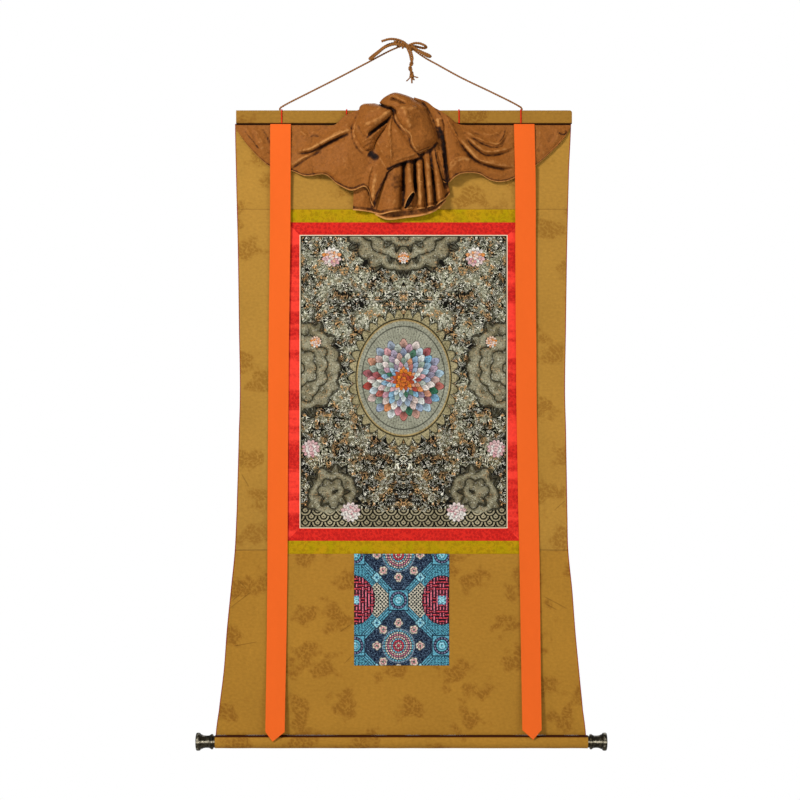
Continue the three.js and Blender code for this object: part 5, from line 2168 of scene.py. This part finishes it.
    shades: tuple[Fold, ...] = folds(
        # Painted shade along the silk's creases, and painted highlight where the rise is negative
        ((-26, -150), (-52, -173), (-70, -188), (-80, -198), 4.6, 4.6, 1.9, 0.2),
        ((-76, -224), (-66, -230), (-54, -238), 6, 6, 3.2, 0.25),
        ((-86, -211), (-75, -206), (-65, -200), 1.6, 1.6, 0.7),
        ((-84, -219), (-76, -214), (-68, -209), 1.6, 1.6, 0.7),
        ((-54, -121), (-40, -130), (-24, -137), (-20, -146), 4.4, 4.4, 2.2, 0.25),
        ((-34, -111), (-20, -117), (-3, -126), 2.2, 2.2, 0.9),
        (
            (-24, -143), (-21, -158), (-8, -176), (9, -193), (12, -208), (21, -222), (32, -230),
            2.2, 2.2, 0.9, 0.05,
        ),
        ((-36, -262), (-20, -254), (1, -246), (22, -241), (38, -233), 3.4, 3.4, 2.2, 0.05),
        ((28, -231), (46, -225), (62, -212), (70, -200), 3, 3, 2.0, 0.05),
        ((-28, -164), (-31, -198), (-31, -230), (-29, -252), 1.5, 1.5, 0.8),
        ((72, -166), (82, -203), (84.5, -230), (87, -261), (91, -300), 4.2, 4.2, 2.6, 0.1),
        ((66, -150), (72, -160), (70, -170), 3.5, 3.5, -1.0, 0.3),
        ((-22, -262), (-16, -290), (-18, -312), 15, 12, 0.8, 0.3),
        ((64, -214), (68, -240), (77, -272), (86, -300), 1.8, 1.8, 1.4, 0.1),
        ((54, -220), (57, -246), (61, -277), (65, -332), 2.6, 2.6, 2.0, 0.2),
        ((39, -234), (41, -264), (44.5, -298), (47, -338), 2.0, 2.0, 1.5, 0.1),
        ((21.5, -238), (22, -272), (24, -309), 3.0, 3.0, 2.6, 0.15),
        ((-1.6, -246), (-2, -277), (-1.6, -312), (-4, -338), 2.4, 2.4, 2.0, 0.1),
        ((-34, -262), (-44, -285), (-60, -317), (-65, -340), 3.2, 3.2, 1.2, 0.05),
        ((-86, -298), (-76, -306), (-72, -322), (-69, -343), 2.2, 2.2, 1.0, 0.1),
        ((-100, -142), (-111, -169), (-110, -193), (-98, -217), (-86, -229), 2.2, 2.2, 0.8, 0.1),
        ((-228, -224), (-203, -224), (-162, -204), (-114, -183), 2.2, 2.2, 0.9),
        ((-242, -259), (-222, -246), (-198, -232), (-176, -219), 2.0, 2.0, 0.8),
        (
            (88, -146), (98, -162), (112, -190), (126, -212), (148, -238), (186, -255), (216, -259),
            2.4, 2.4, 0.8,
        ),
        ((127, -189), (142, -194), (160, -203), (180, -211), (204, -211), (212, -200), 1.8, 1.8, 0.7),
        ((131, -195), (149, -215), (168, -228), (188, -230), (212, -224), 1.8, 1.8, 0.7),
        ((20, -112), (36, -117), (49, -132), (60, -153), (70, -179), (72, -198), 2.6, 2.6, 0.9),
        ((60, -128), (72, -138), (82, -160), (85, -180), 2.0, 2.0, 0.7),
        ((-262, -170), (-246, -196), (-236, -214), 2.0, 2.0, 0.5),
        ((322, -176), (332, -184), (342, -181), (339, -174), 1.6, 1.6, 1.4),
        ((214, -172), (208, -190), (198, -204), 1.8, 1.8, 1.2),
        ((-300, -172), (-291, -188), (-284, -204), 1.8, 1.8, 1.0),
        ((-338, -176), (-322, -196), (-306, -216), 1.6, 1.6, 0.9),
        ((-200, -190), (-190, -187), (-180, -190), 2.0, 2.0, 0.6),
        # Painted highlights along the rims, where the rise is negative
        ((-90, -121), (-66, -118), 5, 5, -0.7, 0.3),
        ((-96, -144), (-107, -169), (-106, -191), (-95, -213), (-83, -225), 1.8, 1.8, -0.7),
        (
            (-20, -145), (-17, -158), (-4, -174), (13, -190), (16, -206), (25, -220), (34, -227),
            1.6, 1.6, -0.9, 0.05,
        ),
        ((-65, -206), (-61, -217), (-53, -233), (-38, -257), 2.0, 2.0, -0.6),
        ((-34, -164), (-37, -198), (-36, -232), 4, 4, -0.4),
        ((10, -246), (12, -300), 3, 3, -0.4),
        ((30, -242), (34, -338), 3, 3, -0.4),
        ((48, -236), (55, -330), 3, 3, -0.4),
        ((70, -222), (80, -262), (93, -304), 3, 3, -0.5),
        ((-60, -268), (-66, -300), (-67, -334), 4, 4, -0.6),
        ((96, -258), (118, -240), (146, -238), 3, 3, -0.5),
    )

    def swag(self, table: Rows, columns: int, down: int) -> Piece:
        """Makes one swag: cloth between the seam under the batten and its hem.

        Args:
            table: Its sections.
            columns: Faces across.
            down: Faces down.

        Returns:
            The swag.
        """

        def face(u: Array, v: Array) -> Places:
            """The swag's front.

            Args:
                u: Shares across.
                v: Shares down.

            Returns:
                x, y and z of each point.
            """
            fall = 1 - (1 - v) ** 1.12
            x = table.at("x", u) + (table.at("foot", u) - table.at("x", u)) * fall
            z = table.at("top", u) + (table.at("hem", u) - table.at("top", u)) * fall
            start = table.at("start", u)
            full = start + (table.at("out", u) - start) * np.sin(0.78 * math.pi * fall)
            ease = np.minimum(1, 7 * fall) * np.clip(np.minimum(u, 1 - u) * 14, 0, 1)
            pushed = sum(fold.push(x, z) for fold in self.swag_folds) + crumple(x, z, 23, 0.55)
            drop = np.abs(table.at("hem", u) - z)
            hem = 0.9 * hump(drop - 1.6, 1.5) - 0.6 * hump(drop - 5.4, 1.3)
            return x, -np.maximum(full + pushed * ease + hem * ease, start), z

        return self.leaf(columns, down, face, 0.7)

    def arch(
        self, table: Rows, columns: int, down: int, pressed: Sequence[Fold], sideways: bool = False
    ) -> Piece:
        """Makes one lobe: a run of arches from rim to rim, open at the back.

        Args:
            table: Its arches.
            columns: Faces across.
            down: Faces down.
            pressed: The folds that lie on it.
            sideways: Whether the arches follow each other across and not down.

        Returns:
            The lobe.
        """

        def face(u: Array, v: Array) -> Places:
            """The lobe's front.

            Args:
                u: Shares across.
                v: Shares down.

            Returns:
                x, y and z of each point.
            """
            place, turn = (u, v) if sideways else (v, u)
            x1, z1, y1, x2, z2, y2, rise = (table.at(name, place) for name in ARCH_NAMES)
            share = (1 - np.cos(math.pi * turn)) / 2
            x, z = x1 + (x2 - x1) * share, z1 + (z2 - z1) * share
            over = np.sin(math.pi * turn)
            out = y1 + (y2 - y1) * share + rise * over
            pushed = sum(fold.push(x, z) for fold in pressed) + crumple(x, z, 19, 0.7)
            return x, -np.maximum(out + pushed * np.clip(over * 2.4, 0, 1), 7.5), z

        return self.leaf(columns, down, face, 0.5)

    def pleated(self, table: Rows, columns: int, down: int, start: float) -> Piece:
        """Makes pleats that fan out from the waist to the hem.

        Args:
            table: Its ridges and valleys.
            columns: Faces across.
            down: Faces down.
            start: The share of the fall at which the part begins.

        Returns:
            The pleats.
        """

        def face(u: Array, v: Array) -> Places:
            """The pleats' front.

            Args:
                u: Shares across.
                v: Shares down.

            Returns:
                x, y and z of each point.
            """
            fall = 1 - (1 - v) ** 1.15
            fall = start + (1 - start) * fall
            x = table.at("waist", u) + (table.at("foot", u) - table.at("waist", u)) * fall
            z = self.waist_z + (table.at("hem", u) - self.waist_z) * fall
            out = self.waist_out + (table.at("out", u) - self.waist_out) * fall**0.62
            drop = z - table.at("hem", u)
            hem = 0.8 * hump(drop - 1.6, 1.5) - 0.5 * hump(drop - 5.2, 1.3)
            return x, -(out + hem + crumple(x * 2, z * 0.5, 21, 0.5)), z

        return self.leaf(columns, down, face, 0.7)

    def mouth(self) -> Piece:
        """Makes the rolled pleat at the middle of the tail, whose mouth is cut aslant and stands open.

        Returns:
            The piece.
        """

        def face(u: Array, v: Array) -> Places:
            """The roll's outside, round and down.

            Args:
                u: Shares across.
                v: Shares down.

            Returns:
                x, y and z of each point.
            """
            turn = 2 * math.pi * u
            foot = -328.5 + 14.5 * np.sin(turn) + 8.5 * np.cos(turn)
            z = -236 + (foot + 236) * v
            wide = 4.0 + 7.0 * v**1.5
            middle = 8 + 1.5 * np.sin(2.2 * v) + 1.2 * v**3
            return middle + wide * np.sin(turn), -(29 + 2 * v + (5.5 + 4.5 * v) * np.cos(turn)), z

        def own(u: Array, v: Array) -> Array:
            """Painted shade inside the roll, and a painted highlight on its cut rim."""
            behind = np.cos(2 * math.pi * u) < 0.1
            return np.where(behind, 1.6 * np.clip(3 * v - 1.6, 0, 1), -0.8 * (v > 0.965))

        return self.leaf(36, 56, face, own)

    def leaf(self, columns: int, down: int, face: Surface, own: Callable | float = 0.0) -> Piece:
        """Makes one part of the veil, with painted shade and painted highlights for its folds kept as an
        attribute.

        Args:
            columns: Faces across.
            down: Faces down.
            face: The front surface over u and v.
            own: More painted shade and highlight for the part, over u and v, or how strong the painted
                highlight and shade line along its hem are.

        Returns:
            The part.
        """
        piece = cloth("veil_part", columns, down, face, 0, (self.flat[0] * 1000, self.flat[1] * 1000))
        mesh = piece.data
        x, y, z = points_of(piece).T / MM
        depth = y.reshape(down + 1, columns + 1) * MM
        painted_crease_shading = sum(line.push(x, z + 3.0) for line in self.shades) * (0.45 + crumple(x, z, 15, 0.2))
        painted_fold_shading = 0.5 + painted_crease_shading.reshape(depth.shape)
        u, v = np.meshgrid(np.linspace(0, 1, columns + 1), np.linspace(1, 0, down + 1))
        if callable(own):
            painted_fold_shading += own(u, v)
        else:
            # Where own is a number: a painted highlight along the lower edge and a painted shade line just
            # above it
            row = (1 - v) * down
            painted_fold_shading += own * (0.5 * (np.abs(row - 3) < 1.1) - (row < 1.5))
        # Painted shade in hollows and painted highlight on ridges: each point against the mean depth round it
        for reach, weight in ((2, 110.0), (5, 55.0), (9, 30.0)):
            padded = np.pad(depth, reach, mode="edge")
            total = np.zeros(depth.shape)
            for step in range(2 * reach + 1):
                total += padded[step : step + depth.shape[0], reach : reach + depth.shape[1]]
                total += padded[reach : reach + depth.shape[0], step : step + depth.shape[1]]
            painted_fold_shading += weight * (depth - total / (4 * reach + 2))
        layer = mesh.attributes.new("painted_fold_shading", "FLOAT", "POINT")
        layer.data.foreach_set("value", np.clip(painted_fold_shading, 0, 2).astype(np.float32).ravel())
        thicken(piece, SIZES.silk)
        smooth(piece, SOFT_SILK)
        return piece

    def build(self) -> None:
        """Makes the veil's parts and joins them into its one piece."""
        parts = [
            self.swag(self.left_swag, 150, 72),
            self.swag(self.right_swag, 168, 78),
            self.arch(self.left_lobe, 58, 64, self.lobe_folds),
            self.arch(self.right_lobe, 58, 66, self.lobe_folds),
            self.arch(self.top_lobe, 70, 40, self.lobe_folds, sideways=True),
            self.arch(self.flap, 56, 64, self.flap_folds),
            self.pleated(self.pleats, 160, 46, 0.0),
            self.pleated(self.under_layer, 80, 14, 0.6),
            self.mouth(),
        ]
        deselect()
        for part in parts:
            part.select_set(True)
        bpy.context.view_layer.objects.active = parts[0]
        bpy.ops.object.join()
        piece = bpy.context.object
        piece.name = piece.data.name = "silk_veil"
        smooth(piece, SOFT_SILK)
        hand_over(piece, self.finishes.veil, ["veil"])


# The stage


@dataclass
class Stage:
    """The camera straight in front, soft studio lights, white surroundings and a pale floor."""

    pixel: float = 2.116  # millimetres of the cloth in one pixel
    frame: int = 800
    middle: tuple[float, float] = (-9.5, -748.0)
    distance: float = 4700.0
    floor_z: float = -2050.0
    background: float = 1.0
    ambient: float = 0.24
    lights: tuple[tuple[str, Point, Point, float, float], ...] = (
        # name, place, aim, size, power
        ("key", (-2200, -3000, 1500), (0, 0, -600), 800, 150),
        ("fill", (2200, -3000, -300), (0, 0, -800), 2400, 36),
        ("low", (-600, -3400, -2400), (0, 0, -900), 2200, 22),
        ("back", (500, 2400, 900), (0, 0, -700), 2000, 40),
    )

    def build(self) -> None:
        """Sets up the camera, the lights, the surroundings and the floor."""
        scene = bpy.context.scene
        scene.view_settings.view_transform = "Standard"
        scene.view_settings.look = "None"
        self.camera()
        for row in self.lights:
            self.light(*row)
        self.surroundings()
        self.floor()

    def camera(self) -> None:
        """Places the camera so that the frame is as wide as the photograph's at the cloth."""
        lens = bpy.data.cameras.new("camera")
        lens.sensor_width = 36
        lens.lens = 36 * self.distance / (self.pixel * self.frame)
        lens.clip_end = 50
        eye = bpy.data.objects.new("camera", lens)
        bpy.context.scene.collection.objects.link(eye)
        eye.location = (self.middle[0] * MM, -self.distance * MM, self.middle[1] * MM)
        eye.rotation_euler = (math.pi / 2, 0, 0)
        bpy.context.scene.camera = eye

    def light(self, name: str, place: Point, aim: Point, size: float, power: float) -> None:
        """Adds one soft area light.

        Args:
            name: Its name.
            place: Where it is.
            aim: The point that it shines at.
            size: The side of its square.
            power: Its power in watts.
        """
        lamp = bpy.data.lights.new(name, "AREA")
        lamp.size = size * MM
        lamp.energy = power
        stand = bpy.data.objects.new(name, lamp)
        bpy.context.scene.collection.objects.link(stand)
        stand.location = [value * MM for value in place]
        way = [b - a for a, b in zip(place, aim)]
        flat = math.hypot(way[0], way[1])
        stand.rotation_euler = (math.pi / 2 + math.atan2(way[2], flat), 0, math.atan2(-way[0], way[1]))

    def surroundings(self) -> None:
        """Makes the world white to the eye and dimmer as a light, so that folds keep their shade."""
        world = bpy.data.worlds.new("studio")
        bpy.context.scene.world = world
        world.use_nodes = True
        tree = world.node_tree
        tree.nodes.clear()
        output = tree.nodes.new("ShaderNodeOutputWorld")
        mix = tree.nodes.new("ShaderNodeMixShader")
        rays = tree.nodes.new("ShaderNodeLightPath")
        for slot, strength in ((1, self.ambient), (2, self.background)):
            shade = tree.nodes.new("ShaderNodeBackground")
            shade.inputs["Color"].default_value = (1, 1, 1, 1)
            shade.inputs["Strength"].default_value = strength
            tree.links.new(shade.outputs[0], mix.inputs[slot])
        tree.links.new(rays.outputs["Is Camera Ray"], mix.inputs[0])
        tree.links.new(mix.outputs[0], output.inputs["Surface"])

    def floor(self) -> None:
        """Lays the plain pale floor."""
        deselect()
        bpy.ops.mesh.primitive_plane_add(size=4.6, location=(0, 0, self.floor_z * MM))
        ground = bpy.context.object
        ground.name = "floor"
        settle(ground)
        r = Recipe("pale floor")
        x, y, _ = r.place()
        tone = r.mix(r.noise(r.vector(x, y), 300.0, 2.0), (0.8, 0.8, 0.79), (0.84, 0.84, 0.83))
        ground.data.materials.append(r.surface(Base_Color=tone, Roughness=0.8))


def corners(box: tuple) -> list[list[float]]:
    """A box's two corners as plain numbers."""
    return [[float(value) for value in corner] for corner in box]


def main() -> None:
    """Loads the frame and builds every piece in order."""
    logging.basicConfig(level=logging.INFO, format="%(name)s: %(message)s")
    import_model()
    Stage().build()
    finishes = Finishes()
    for part in (HangingCord, Batten, Roller, GroundCloth, Picture, RibbonPair, Veil):
        part(finishes).build()
        LOG.info("%s is done", part.__name__)


if __name__ == "__main__":
    main()
